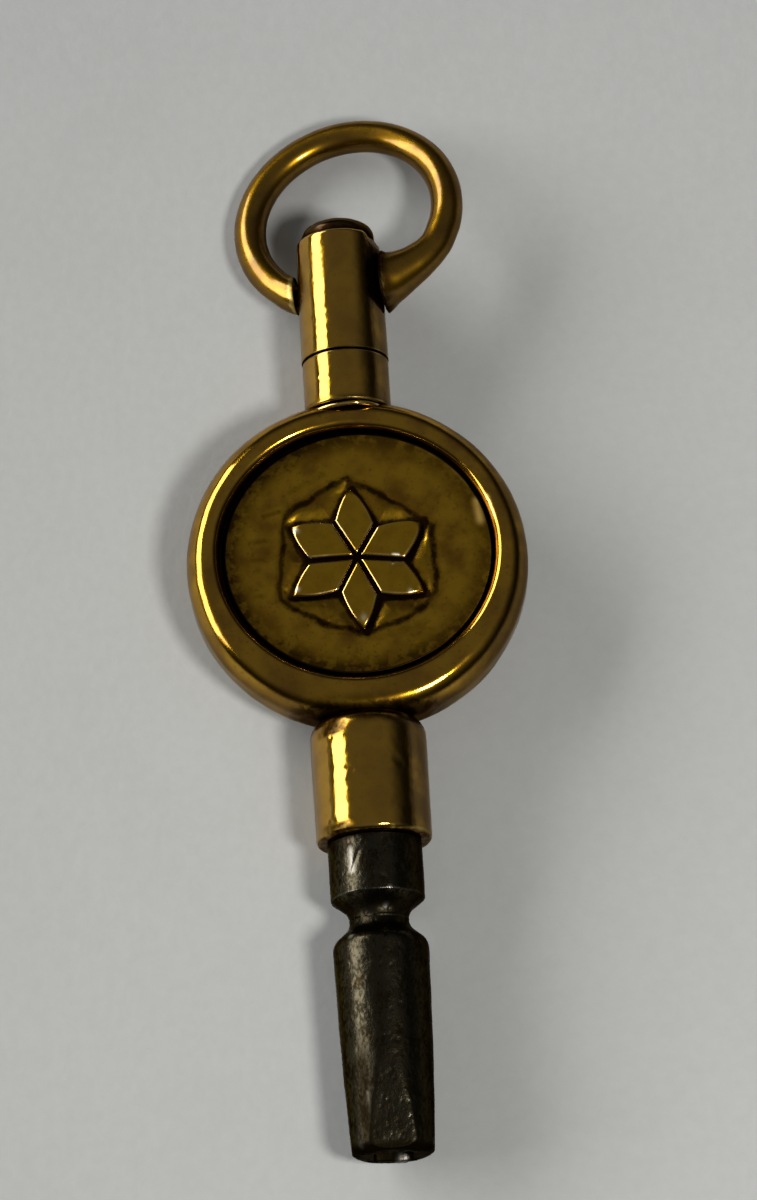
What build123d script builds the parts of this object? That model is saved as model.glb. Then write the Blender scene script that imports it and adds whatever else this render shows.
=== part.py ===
from build123d import *
import os
from math import acos, asin, cos, degrees, radians, sin

# Watch key, in millimetres. The key lies on its back: +Y runs from the socket's mouth to the bow,
# +Z out of the front plaque and +X to its right. The origin is the centre of the socket's mouth.

# Key pipe: a turned steel tube with a square socket, a waist and a collar
pipe_tip_radius = 1.66
pipe_shoulder_radius = 1.88
pipe_tip_round = 0.48
barrel_length = 8.55
shoulder_height = 0.65
shoulder_round = 0.5
waist_radius = 1.2
waist_length = 0.6
waist_round = 0.15
collar_cone_height = 0.55
collar_radius = 1.91
collar_round = 0.32
collar_length = 2.35
tang_radius = 1.5
tang_rivet_radius = 0.95
socket_width = 1.5
socket_depth = 5.5
pilot_radius = 0.7
pilot_depth = 6.4
tip_flat_distance = 1.47
tip_flat_length = 4.0
tip_flat_count = 4

# Ferrule that joins the pipe to the medallion
ferrule_base_radius = 2.29
ferrule_top_radius = 2.33
ferrule_base_round = 0.1
ferrule_top_round = 0.45
ferrule_length = 4.9
ferrule_saddle = 0.25

# Medallion: rim, two stamped plaques and the disc packed between them
medallion_radius = 7.0
rim_thickness = 3.0
rim_crest_offset = 0.9
rim_side_band = 0.6
rim_lip_round = 0.38
rim_lip_share = 0.9
rim_side_width = 1.34
rim_top_width = 1.4
rim_foot_width = 1.8
plaque_recess = 0.45
plaque_thickness = 0.8
plaque_groove_width = 0.42
plaque_groove_depth = 0.3
plaque_edge_round = 0.22
rosette_radius = 3.08
rosette_petals = 6
rosette_notch_share = 0.575
rosette_border = 0.38
rosette_border_round = 0.5
rosette_sink = 0.2
petal_rise = 0.06
petal_groove_width = 0.16
petal_groove_depth = 0.18
rosette_turn = 2.5

# Neck collar and the swivel that turns on the stem pin
neck_radius = 1.8
neck_length = 2.25
neck_saddle = 0.3
neck_base_round = 0.1
sleeve_base_radius = 1.82
sleeve_top_radius = 1.72
sleeve_length = 5.47
sleeve_base_round = 0.08
sleeve_top_round = 0.25
stem_radius = 0.62
stem_head_radius = 1.46
stem_head_height = 0.97
rivet_end_inset = 0.15

# Bow: a round wire ring whose flared ends pivot in the sides of the sleeve
bow_wire_radius = 0.655
bow_ring_radius = 4.31
bow_ring_rise = 3.745
bow_ring_offset = 0.335
bow_boss_radius = 1.15
bow_flare_length = 1.2
bow_side_gap = 0.22
tenon_radius = 0.36
tenon_length = 0.75
pivot_height = 3.32
bow_turn = 12.6
bow_drop = 12.1

# Clearances, and the overrun of the cuts
fit_gap = 0.01
running_gap = 0.04
end_play = 0.03
overrun = 1.0

# Heights along the key, from the socket's mouth to the rivet head
shoulder_top = barrel_length + shoulder_height
collar_base = shoulder_top + waist_length
collar_full = collar_base + collar_cone_height
ferrule_base = collar_full + collar_length
rim_base = ferrule_base + ferrule_length
ferrule_top = rim_base + ferrule_saddle
medallion_height = rim_base + medallion_radius
rim_top = medallion_height + medallion_radius
neck_base = rim_top - neck_saddle
neck_top = neck_base + neck_length
sleeve_base = neck_top + end_play
sleeve_top = sleeve_base + sleeve_length
head_base = sleeve_top + end_play
pivot = sleeve_base + pivot_height

# Levels and radii inside the medallion, from its middle
crest_radius = medallion_radius - rim_crest_offset
crest_level = rim_thickness / 2
face_level = crest_level - plaque_recess
flange_level = face_level - plaque_groove_depth
core_level = face_level - plaque_thickness
recess_half_width = medallion_radius - rim_side_width
recess_half_height = medallion_radius - (rim_top_width + rim_foot_width) / 2
recess_height = medallion_height + (rim_foot_width - rim_top_width) / 2
narrowest_rim = min(rim_side_width, rim_top_width, rim_foot_width)
lip_round = min(rim_lip_round, rim_lip_share * (narrowest_rim - rim_crest_offset))
tang_reach = recess_height - recess_half_height - rivet_end_inset
stem_reach = recess_height + recess_half_height + rivet_end_inset

# Directions of the swivel's pivot and of the bow as it lies
pivot_direction = Vector(cos(radians(bow_turn)), 0, sin(radians(bow_turn)))
bow_direction = Vector(0, 1, 0).rotate(Axis.X, -bow_drop).rotate(Axis.Y, -bow_turn)
bow_end = sleeve_base_radius + bow_side_gap
key_axis = Axis((0, 0, 0), (0, 1, 0))
medallion_axis = Axis((0, medallion_height, 0), (0, 0, 1))


def cross_plane(height):
    """Plane square to the key's axis at a height, whose normal points to the bow."""
    return Plane(origin=(0, height, 0), x_dir=(1, 0, 0), z_dir=(0, 1, 0))


def bore(radius, start, end):
    """Cut a round hole about the key's axis between two heights."""
    with BuildSketch(cross_plane(start)) as hole:
        Circle(radius)
    extrude(hole.sketch, amount=end - start, mode=Mode.SUBTRACT)


def turned(points, radii):
    """Turn an outline of radius and height points, each with its corner radius, about the key's axis."""
    with BuildSketch(Plane.XY) as outline:
        with BuildLine():
            FilletPolyline(*points, radius=radii, close=True)
        make_face()
    revolve(outline.sketch, axis=key_axis)


def medallion_disc(mode=Mode.ADD):
    """Turn the medallion's outer shape: flat faces, a full outer curve and a narrow side band."""
    half_band = rim_side_band / 2
    with BuildSketch(Plane.XZ.offset(-medallion_height)) as half_section:
        with BuildLine():
            Line((0, crest_level), (crest_radius, crest_level))
            EllipticalCenterArc((crest_radius, half_band), rim_crest_offset, crest_level - half_band)
            Line((medallion_radius, half_band), (medallion_radius, 0))
            Line((0, 0), (0, crest_level))
            Line((0, 0), (medallion_radius, 0))
        make_face()
        mirror(about=Plane.XZ)
    revolve(half_section.sketch, axis=medallion_axis, mode=mode)


def recess_prism(inset, start, end, out=1, mode=Mode.ADD):
    """Fill the rim's oval recess, less an inset all round, between two levels on one side of its middle."""
    recess = Plane(origin=(0, recess_height, 0), x_dir=(1, 0, 0), z_dir=(0, 0, out))
    with BuildSketch(recess.offset(start)) as oval:
        Ellipse(recess_half_width - inset, recess_half_height - inset)
    extrude(oval.sketch, amount=end - start, mode=mode)


def stamp_plaque(out):
    """Draw a plaque with its rosette. out is +1 for the front of the medallion and -1 for the back."""
    petal_direction = Vector(0, 1, 0).rotate(Axis.Z, rosette_turn)
    middle = Plane(origin=(0, medallion_height, 0), x_dir=petal_direction, z_dir=(0, 0, out))
    recess_prism(fit_gap, core_level, flange_level, out)
    recess_prism(plaque_groove_width, flange_level, face_level, out)
    fillet(faces().sort_by(Axis(middle.origin, middle.z_dir))[-1].edges(), radius=plaque_edge_round)
    with BuildSketch(middle.offset(face_level)) as border:
        RegularPolygon(rosette_radius + rosette_border, rosette_petals)
        fillet(border.vertices(), radius=rosette_border_round)
    extrude(border.sketch, amount=-rosette_sink, mode=Mode.SUBTRACT)
    step = 180 / rosette_petals
    radii = (rosette_radius, rosette_radius * rosette_notch_share)
    corners = [Vector(radii[i % 2], 0).rotate(Axis.Z, i * step) for i in range(2 * rosette_petals)]
    with BuildSketch(middle.offset(face_level - rosette_sink)) as petals:
        with BuildLine():
            Polyline(*corners, close=True)
        make_face()
    extrude(petals.sketch, amount=rosette_sink + petal_rise)
    with BuildSketch(middle.offset(face_level + petal_rise)) as grooves:
        for i in range(rosette_petals // 2):
            Rectangle(2 * (radii[1] + petal_groove_width), petal_groove_width, rotation=step + 2 * step * i)
    extrude(grooves.sketch, amount=-petal_groove_depth, mode=Mode.SUBTRACT)


with BuildPart() as key_pipe:
    tang_end = rim_base - fit_gap
    turned([(0, 0), (pipe_tip_radius, 0), (pipe_shoulder_radius, barrel_length), (waist_radius, shoulder_top),
            (waist_radius, collar_base), (collar_radius, collar_full), (collar_radius, ferrule_base),
            (tang_radius, ferrule_base), (tang_radius, tang_end), (tang_rivet_radius, tang_end),
            (tang_rivet_radius, tang_reach), (0, tang_reach)],
           [0, pipe_tip_round, shoulder_round, waist_round, waist_round, collar_round, 0, 0, 0, 0, 0, 0])
    flat_end_radius = pipe_tip_radius + (pipe_shoulder_radius - pipe_tip_radius) * tip_flat_length / barrel_length
    flat_slope = (flat_end_radius - tip_flat_distance) / tip_flat_length
    for i in range(tip_flat_count):
        outward = Vector(0, 0, 1).rotate(Axis.Y, 360 / tip_flat_count * i)
        with BuildSketch(Plane(origin=(0, 0, 0), x_dir=outward, z_dir=outward.cross(Vector(0, 1, 0)))):
            with BuildLine():
                Polyline((tip_flat_distance - flat_slope * overrun, -overrun), (flat_end_radius, tip_flat_length),
                         (pipe_tip_radius + overrun, tip_flat_length), (pipe_tip_radius + overrun, -overrun),
                         close=True)
            make_face()
        extrude(amount=pipe_shoulder_radius, both=True, mode=Mode.SUBTRACT)
    with BuildSketch(cross_plane(0)):
        Rectangle(socket_width, socket_width)
    extrude(amount=socket_depth, mode=Mode.SUBTRACT)
    bore(pilot_radius, socket_depth, pilot_depth)
key_pipe.part.label = "key_pipe"

with BuildPart() as ferrule:
    turned([(tang_radius + fit_gap, ferrule_base), (ferrule_base_radius, ferrule_base),
            (ferrule_top_radius, ferrule_top), (tang_radius + fit_gap, ferrule_top)],
           [0, ferrule_base_round, ferrule_top_round, 0])
    medallion_disc(mode=Mode.SUBTRACT)
ferrule.part.label = "ferrule"

with BuildPart() as medallion_rim:
    medallion_disc()
    recess_prism(0, -crest_level, crest_level, mode=Mode.SUBTRACT)
    fillet(edges().filter_by(GeomType.ELLIPSE), radius=lip_round)
    bore(tang_rivet_radius + fit_gap, rim_base - overrun, medallion_height)
    bore(stem_radius + fit_gap, medallion_height, rim_top + overrun)
medallion_rim.part.label = "medallion_rim"

with BuildPart() as front_plaque:
    stamp_plaque(1)
front_plaque.part.label = "front_plaque"

with BuildPart() as back_plaque:
    stamp_plaque(-1)
back_plaque.part.label = "back_plaque"

with BuildPart() as core_disc:
    recess_prism(fit_gap, -core_level, core_level)
core_disc.part.label = "core_disc"

with BuildPart() as neck_collar:
    turned([(stem_radius + fit_gap, neck_base), (neck_radius, neck_base), (neck_radius, neck_top),
            (stem_radius + fit_gap, neck_top)],
           [0, neck_base_round, sleeve_base_round, 0])
    medallion_disc(mode=Mode.SUBTRACT)
neck_collar.part.label = "neck_collar"

with BuildPart() as stem_pin:
    head_sphere = (stem_head_radius ** 2 + stem_head_height ** 2) / (2 * stem_head_height)
    half_turn = asin(stem_head_radius / head_sphere) / 2
    head_centre = head_base + stem_head_height - head_sphere
    with BuildSketch(Plane.XY):
        with BuildLine():
            Polyline((0, head_base + stem_head_height), (0, stem_reach), (stem_radius, stem_reach),
                     (stem_radius, head_base), (stem_head_radius, head_base))
            ThreePointArc((stem_head_radius, head_base),
                          (head_sphere * sin(half_turn), head_centre + head_sphere * cos(half_turn)),
                          (0, head_base + stem_head_height))
        make_face()
    revolve(axis=key_axis)
stem_pin.part.label = "stem_pin"

with BuildPart() as swivel_sleeve:
    turned([(stem_radius + running_gap, sleeve_base), (sleeve_base_radius, sleeve_base),
            (sleeve_top_radius, sleeve_top), (stem_radius + running_gap, sleeve_top)],
           [0, sleeve_base_round, sleeve_top_round, 0])
    for side in (1, -1):
        hole_end = pivot_direction * side * (bow_end - tenon_length - end_play)
        with BuildSketch(Plane(origin=hole_end + Vector(0, pivot, 0), z_dir=pivot_direction * side)):
            Circle(tenon_radius + running_gap)
        extrude(amount=tenon_length + overrun, mode=Mode.SUBTRACT)
swivel_sleeve.part.label = "swivel_sleeve"

with BuildPart() as bow:
    flat = Plane(origin=(0, pivot, 0), x_dir=pivot_direction, z_dir=pivot_direction.cross(bow_direction))
    right_angle = degrees(acos((bow_end + bow_flare_length - bow_ring_offset) / bow_ring_radius))
    left_angle = degrees(acos((bow_end + bow_flare_length + bow_ring_offset) / bow_ring_radius))
    with BuildLine(flat) as bend:
        CenterArc((bow_ring_offset, bow_ring_rise), bow_ring_radius, -right_angle, 180 + right_angle + left_angle)
    wire = bend.wires()[0]
    with BuildSketch(Plane(origin=wire @ 0, x_dir=flat.z_dir, z_dir=wire % 0)):
        Circle(bow_wire_radius)
    sweep(path=wire)
    for side, place in ((1, 0), (-1, 1)):
        end_centre = flat.origin + pivot_direction * side * bow_end
        with BuildSketch(Plane(origin=wire @ place, x_dir=flat.z_dir, z_dir=(wire % place) * side)):
            Circle(bow_wire_radius)
        with BuildSketch(Plane(origin=end_centre, x_dir=flat.z_dir, z_dir=pivot_direction)):
            Circle(bow_boss_radius)
        loft()
        with BuildSketch(Plane(origin=end_centre, x_dir=flat.z_dir, z_dir=pivot_direction * -side)):
            Circle(tenon_radius)
        extrude(amount=tenon_length)
bow.part.label = "bow"

os.makedirs("parts", exist_ok=True)
for piece in (key_pipe, ferrule, medallion_rim, front_plaque, back_plaque, core_disc, neck_collar, stem_pin,
              swivel_sleeve, bow):
    export_step(piece.part, f"parts/{piece.part.label}.step")
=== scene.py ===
"""Watch key: an old brass key with a swivelling bow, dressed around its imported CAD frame.

Sizes are in millimetres in the classes and in metres in the meshes. The key lies on its back,
+Y from the socket's mouth to the bow and +Z out of the front plaque, as in the CAD frame.
"""

import logging
import math
from collections.abc import Callable, Iterator
from contextlib import contextmanager
from dataclasses import dataclass
from enum import Enum

import bmesh
import bpy
import numpy as np
from mathutils import Matrix, Vector

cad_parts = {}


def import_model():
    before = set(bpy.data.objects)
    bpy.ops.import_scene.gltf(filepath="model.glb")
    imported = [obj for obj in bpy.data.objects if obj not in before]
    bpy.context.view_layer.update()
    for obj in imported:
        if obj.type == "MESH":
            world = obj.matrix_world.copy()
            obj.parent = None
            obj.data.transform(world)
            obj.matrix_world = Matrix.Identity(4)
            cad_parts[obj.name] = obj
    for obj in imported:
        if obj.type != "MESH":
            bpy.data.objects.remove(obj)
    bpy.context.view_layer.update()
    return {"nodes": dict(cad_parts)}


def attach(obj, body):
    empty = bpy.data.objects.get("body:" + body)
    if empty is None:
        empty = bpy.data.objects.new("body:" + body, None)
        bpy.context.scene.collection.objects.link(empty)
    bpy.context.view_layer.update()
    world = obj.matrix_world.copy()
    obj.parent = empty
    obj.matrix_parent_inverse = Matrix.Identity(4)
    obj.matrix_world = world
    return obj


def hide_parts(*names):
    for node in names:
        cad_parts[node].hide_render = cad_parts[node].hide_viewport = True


LOG = logging.getLogger("watch_key")
MM = 0.001
TURN = 2 * math.pi
# Points nearer than this many millimetres are one.
DOUBLE = 0.0005
# Where a Mix node of colours has its share and its two colours, and where the mixed colour is.
MIX_INPUTS = (0, 6, 7)
MIX_OUTPUT = 2
# What is stored in the vertices of each piece, for its finish.
LAYERS = ("relief", "dirt_and_shade", "rub_and_glint")
Array = np.ndarray
Mesh = bpy.types.Mesh
Pair = tuple[float, float]
Triple = tuple[float, float, float]


class Body(Enum):
    """The CAD bodies that pieces ride on."""

    KEY = "key"
    SWIVEL = "swivel"
    BOW = "bow"


class Slot(Enum):
    """The record's material slots."""

    BRASS = "brass"
    PLAQUE = "plaque_brass"
    STEEL = "steel"


class Side(Enum):
    """The medallion's two faces, by how far a front piece is turned to lie on them, in radians."""

    FRONT = 0.0
    BACK = math.pi


# Node trees


class Signal:
    """A node's output that can be reckoned with: each step adds a node to its tree."""

    def __init__(self, build: "TreeBuilder", socket: bpy.types.NodeSocket) -> None:
        """Take up an output of the builder's tree."""
        self.build, self.socket = build, socket

    def out(self, key: str | int) -> "Signal":
        """Return another output of the same node."""
        return Signal(self.build, self.socket.node.outputs[key])

    def __add__(self, other: object) -> "Signal":
        """Return the sum."""
        return self.build.math("ADD", self, other)

    def __sub__(self, other: object) -> "Signal":
        """Return the difference."""
        return self.build.math("SUBTRACT", self, other)

    def __mul__(self, other: object) -> "Signal":
        """Return the product."""
        return self.build.math("MULTIPLY", self, other)

    __radd__, __rmul__ = __add__, __mul__

    def max(self, other: object) -> "Signal":
        """Return the greater one."""
        return self.build.math("MAXIMUM", self, other)

    def spread(self, low: object, high: object, to_low: float, to_high: float) -> "Signal":
        """Map the range from low to high smoothly to another."""
        ends = dict(enumerate((self, low, high, to_low, to_high)))
        return self.build.node("ShaderNodeMapRange", ends, interpolation_type="SMOOTHSTEP")


class TreeBuilder:
    """Adds linked nodes to one shader or geometry tree."""

    def __init__(self, tree: bpy.types.NodeTree) -> None:
        """Start on a tree."""
        self.tree = tree

    def feed(self, node: bpy.types.Node, inputs: dict[str | int, object]) -> None:
        """Link a node's inputs to signals, or set their constants.

        Args:
            node: the node.
            inputs: a signal or a constant for each input, by its name or number.
        """
        for key, value in inputs.items():
            socket = node.inputs[key]
            if isinstance(value, Signal):
                self.tree.links.new(value.socket, socket)
            else:
                socket.default_value = (*value, 1.0) if socket.type == "RGBA" else value

    def node(self, kind: str, inputs: dict[str | int, object] | None = None, **settings: object) -> Signal:
        """Add a node.

        Args:
            kind: the node's type name.
            inputs: a signal or a constant for each input, by its name or number.
            settings: its property names and values.

        Returns:
            The node's first output.
        """
        made = self.tree.nodes.new(kind)
        for name, value in settings.items():
            setattr(made, name, value)
        self.feed(made, inputs or {})
        return Signal(self, made.outputs[0])

    def math(self, operation: str, *values: object) -> Signal:
        """Add a Math node and return its result."""
        return self.node("ShaderNodeMath", dict(enumerate(values)), operation=operation)

    def mix(self, share: Signal, under: object, over: object) -> Signal:
        """Mix two colours, each a triple or a signal, by the share of the second."""
        inputs = dict(zip(MIX_INPUTS, (share, under, over)))
        return self.node("ShaderNodeMix", inputs, data_type="RGBA").out(MIX_OUTPUT)

    def noise(self, place: Signal, size: float, detail: float) -> Signal:
        """Return noise whose lumps are about size millimetres across, with octaves of finer ones."""
        inputs = {"Vector": place, "Scale": 1.0 / (size * MM), "Detail": detail}
        return self.node("ShaderNodeTexNoise", inputs)

    def stretch(self, place: Signal, scale: Triple) -> Signal:
        """Return a place scaled along the axes."""
        return self.node("ShaderNodeMapping", {"Vector": place, "Scale": scale})

    def bump(self, height: Signal, depth: float) -> Signal:
        """Return the normal over a relief that is depth millimetres high."""
        return self.node("ShaderNodeBump", {"Height": height, "Distance": depth * MM})

    def layers(self) -> list[Signal]:
        """Return what is stored in a piece's vertices: its relief, its dirt and painted shade, and its rubs and
        painted glints.
        """
        return [self.node("ShaderNodeAttribute", attribute_name=name).out("Fac") for name in LAYERS]


class GeometryTree:
    """A geometry node group with named inputs, applied to make plain meshes."""

    title: str
    inputs: dict[str, tuple[str, object]]

    def __init__(self) -> None:
        """Make the group, which realizes, smooths and paints what its shape method makes."""
        self.tree = bpy.data.node_groups.new(self.title, "GeometryNodeTree")
        self.tree.interface.new_socket("Geometry", in_out="OUTPUT", socket_type="NodeSocketGeometry")
        self.identifiers: dict[str, str] = {}
        sockets = {"Geometry": ("Geometry", None), **self.inputs, "Material": ("Material", None)}
        for label, (kind, default) in sockets.items():
            made = self.tree.interface.new_socket(label, in_out="INPUT", socket_type=f"NodeSocket{kind}")
            if default is not None:
                made.default_value = default
            self.identifiers[label] = made.identifier
        build = TreeBuilder(self.tree)
        source = build.node("NodeGroupInput")
        real = build.node("GeometryNodeRealizeInstances", {"Geometry": self.shape(build, source)})
        smooth = build.node("GeometryNodeSetShadeSmooth", {"Geometry": real})
        paint = build.node("GeometryNodeSetMaterial", {"Geometry": smooth, "Material": source.out("Material")})
        build.feed(self.tree.nodes.new("NodeGroupOutput"), {0: paint})

    def shape(self, build: TreeBuilder, source: Signal) -> Signal:
        """Add the nodes that make the geometry.

        Args:
            build: the group's tree builder.
            source: the geometry that the group is given, first of the group's inputs.

        Returns:
            The geometry.
        """
        raise NotImplementedError

    def make(self, data: bpy.types.ID, **values: object) -> Mesh:
        """Run the group on a mesh or a curve.

        Args:
            data: what the group is given.
            values: input values by label, with _ for a space.

        Returns:
            A new plain mesh.
        """
        holder = placed("holder", data)
        modifier = holder.modifiers.new(self.title, "NODES")
        modifier.node_group = self.tree
        for label, value in values.items():
            modifier[self.identifiers[label.replace("_", " ")]] = value
        bpy.context.view_layer.update()
        mesh = bpy.data.meshes.new_from_object(holder.evaluated_get(bpy.context.evaluated_depsgraph_get()))
        bpy.data.objects.remove(holder)
        return mesh


class TurnedTree(GeometryTree):
    """Turns an outline of points, radius in X and height in Y, about the key's axis."""

    title = "Turned Outline"
    inputs = {"Steps Around": ("Int", 256)}

    def shape(self, build: TreeBuilder, source: Signal) -> Signal:
        """Lay the outline out as a grid, bend it round and close it."""
        steps = source.out("Steps Around")
        count = build.node("GeometryNodeAttributeDomainSize", {0: source}, component="MESH").out("Point Count")
        grid = build.node("GeometryNodeMeshGrid", {"Vertices X": steps + 1.0, "Vertices Y": count})
        index, place = build.node("GeometryNodeInputIndex"), build.node("GeometryNodeInputPosition")
        column = build.math("FLOOR", build.math("DIVIDE", index, count))
        angle = build.math("DIVIDE", column, steps) * TURN
        row = {"Geometry": source, "Value": place, "Index": build.math("MODULO", index, count)}
        sample = build.node("GeometryNodeSampleIndex", row, data_type="FLOAT_VECTOR", domain="POINT")
        radius = build.node("ShaderNodeSeparateXYZ", {0: sample})
        bent = build.node("ShaderNodeCombineXYZ", {
            0: radius * build.math("SINE", angle), 1: radius.out(1), 2: radius * build.math("COSINE", angle)})
        moved = build.node("GeometryNodeSetPosition", {"Geometry": grid, "Position": bent})
        return build.node("GeometryNodeMergeByDistance", {"Geometry": moved, "Distance": DOUBLE * MM})


class SweptTree(GeometryTree):
    """Sweeps a round section along a curve, with each point's own radius."""

    title = "Swept Wire"
    inputs = {"Section Steps": ("Int", 48), "Section Radius": ("Float", MM)}

    def shape(self, build: TreeBuilder, source: Signal) -> Signal:
        """Sweep the section; where the node scales it by an input, that input gets the curve's radius."""
        size = {"Resolution": source.out("Section Steps"), "Radius": source.out("Section Radius")}
        section = build.node("GeometryNodeCurvePrimitiveCircle", size, mode="RADIUS")
        curves = {"Curve": source, "Profile Curve": section, "Fill Caps": True}
        swept = build.node("GeometryNodeCurveToMesh", curves)
        if "Scale" in swept.socket.node.inputs:
            build.feed(swept.socket.node, {"Scale": build.node("GeometryNodeInputRadius")})
        return swept


class RosetteTree(GeometryTree):
    """Sets copies of one petal evenly about a centre, each a little off true as hand stamping leaves it."""

    title = "Petal Ring"
    inputs = {"Petals": ("Int", 6), "Centre": ("Vector", (0, 0, 0)), "Turn": ("Float", 0),
              "Wobble": ("Float", 0.01), "Seed": ("Int", 1)}

    def shape(self, build: TreeBuilder, source: Signal) -> Signal:
        """Put the petals on points that share one place and differ in their turn."""
        count, wobble = source.out("Petals"), source.out("Wobble")
        points = build.node("GeometryNodePoints", {"Count": count, "Position": source.out("Centre")})
        chance = {2: wobble * -1.0, 3: wobble, "Seed": source.out("Seed")}
        off = build.node("FunctionNodeRandomValue", chance, data_type="FLOAT").out(1)
        step = build.math("DIVIDE", TURN, count)
        angle = build.node("GeometryNodeInputIndex") * step + source.out("Turn")
        turn = build.node("ShaderNodeCombineXYZ", {2: angle + off})
        size = build.node("ShaderNodeCombineXYZ", {0: off + 1.0, 1: build.math("SUBTRACT", 1.0, off), 2: 1.0})
        copies = {"Points": points, "Instance": source, "Rotation": turn, "Scale": size}
        return build.node("GeometryNodeInstanceOnPoints", copies)


class WearTree(GeometryTree):
    """Works a surface over as years of use do: shallow waves, and pits scattered over it."""

    title = "Worn Surface"
    inputs = {"Wave Size": ("Float", MM), "Wave Depth": ("Float", 0.0), "Pit Density": ("Float", 0.0),
              "Pit Radius": ("Float", 0.1 * MM), "Pit Depth": ("Float", 0.0), "Seed": ("Int", 1)}

    def shape(self, build: TreeBuilder, source: Signal) -> Signal:
        """Push the surface in and out along its normals."""
        place = build.node("GeometryNodeInputPosition")
        seed, radius = source.out("Seed"), source.out("Pit Radius")
        size = build.math("DIVIDE", 1.0, source.out("Wave Size"))
        waves = build.node("ShaderNodeTexNoise", {"Vector": place, "W": seed, "Scale": size, "Detail": 1.5},
                           noise_dimensions="4D")
        swell = (waves - 0.5) * source.out("Wave Depth")
        scatter = build.node("GeometryNodeDistributePointsOnFaces", {
            "Mesh": source, "Density": source.out("Pit Density"), "Seed": seed}, distribute_method="RANDOM")
        near = build.node("GeometryNodeProximity", {0: scatter}, target_element="POINTS").out("Distance")
        ragged = build.node("ShaderNodeTexNoise", {
            "Vector": place, "Scale": build.math("DIVIDE", 0.9, radius), "Detail": 1.0})
        pit = near.spread(0.0, radius * (ragged * 2.0), 1.0, 0.0) * source.out("Pit Depth")
        push = build.node("ShaderNodeVectorMath", {
            0: build.node("GeometryNodeInputNormal"), "Scale": swell - pit}, operation="SCALE")
        return build.node("GeometryNodeSetPosition", {"Geometry": source, "Offset": push})


# Finishes


@dataclass(frozen=True)
class Finish:
    """What every finish shares: its name, and a material whose Principled shader it feeds."""

    name: str

    def material(self) -> bpy.types.Material:
        """Build the material and return it."""
        made = bpy.data.materials.new(self.name)
        made.use_nodes = True
        build = TreeBuilder(made.node_tree)
        place = build.node("ShaderNodeTexCoord").out("Object")
        build.feed(made.node_tree.nodes["Principled BSDF"], self.inputs(build, place))
        return made

    def inputs(self, build: TreeBuilder, place: Signal) -> dict[str, object]:
        """Work out what the shader's inputs get.

        Args:
            build: the material's tree builder.
            place: the point of the piece, in its own frame.

        Returns:
            Signals and constants by the inputs' names.
        """
        raise NotImplementedError


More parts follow.
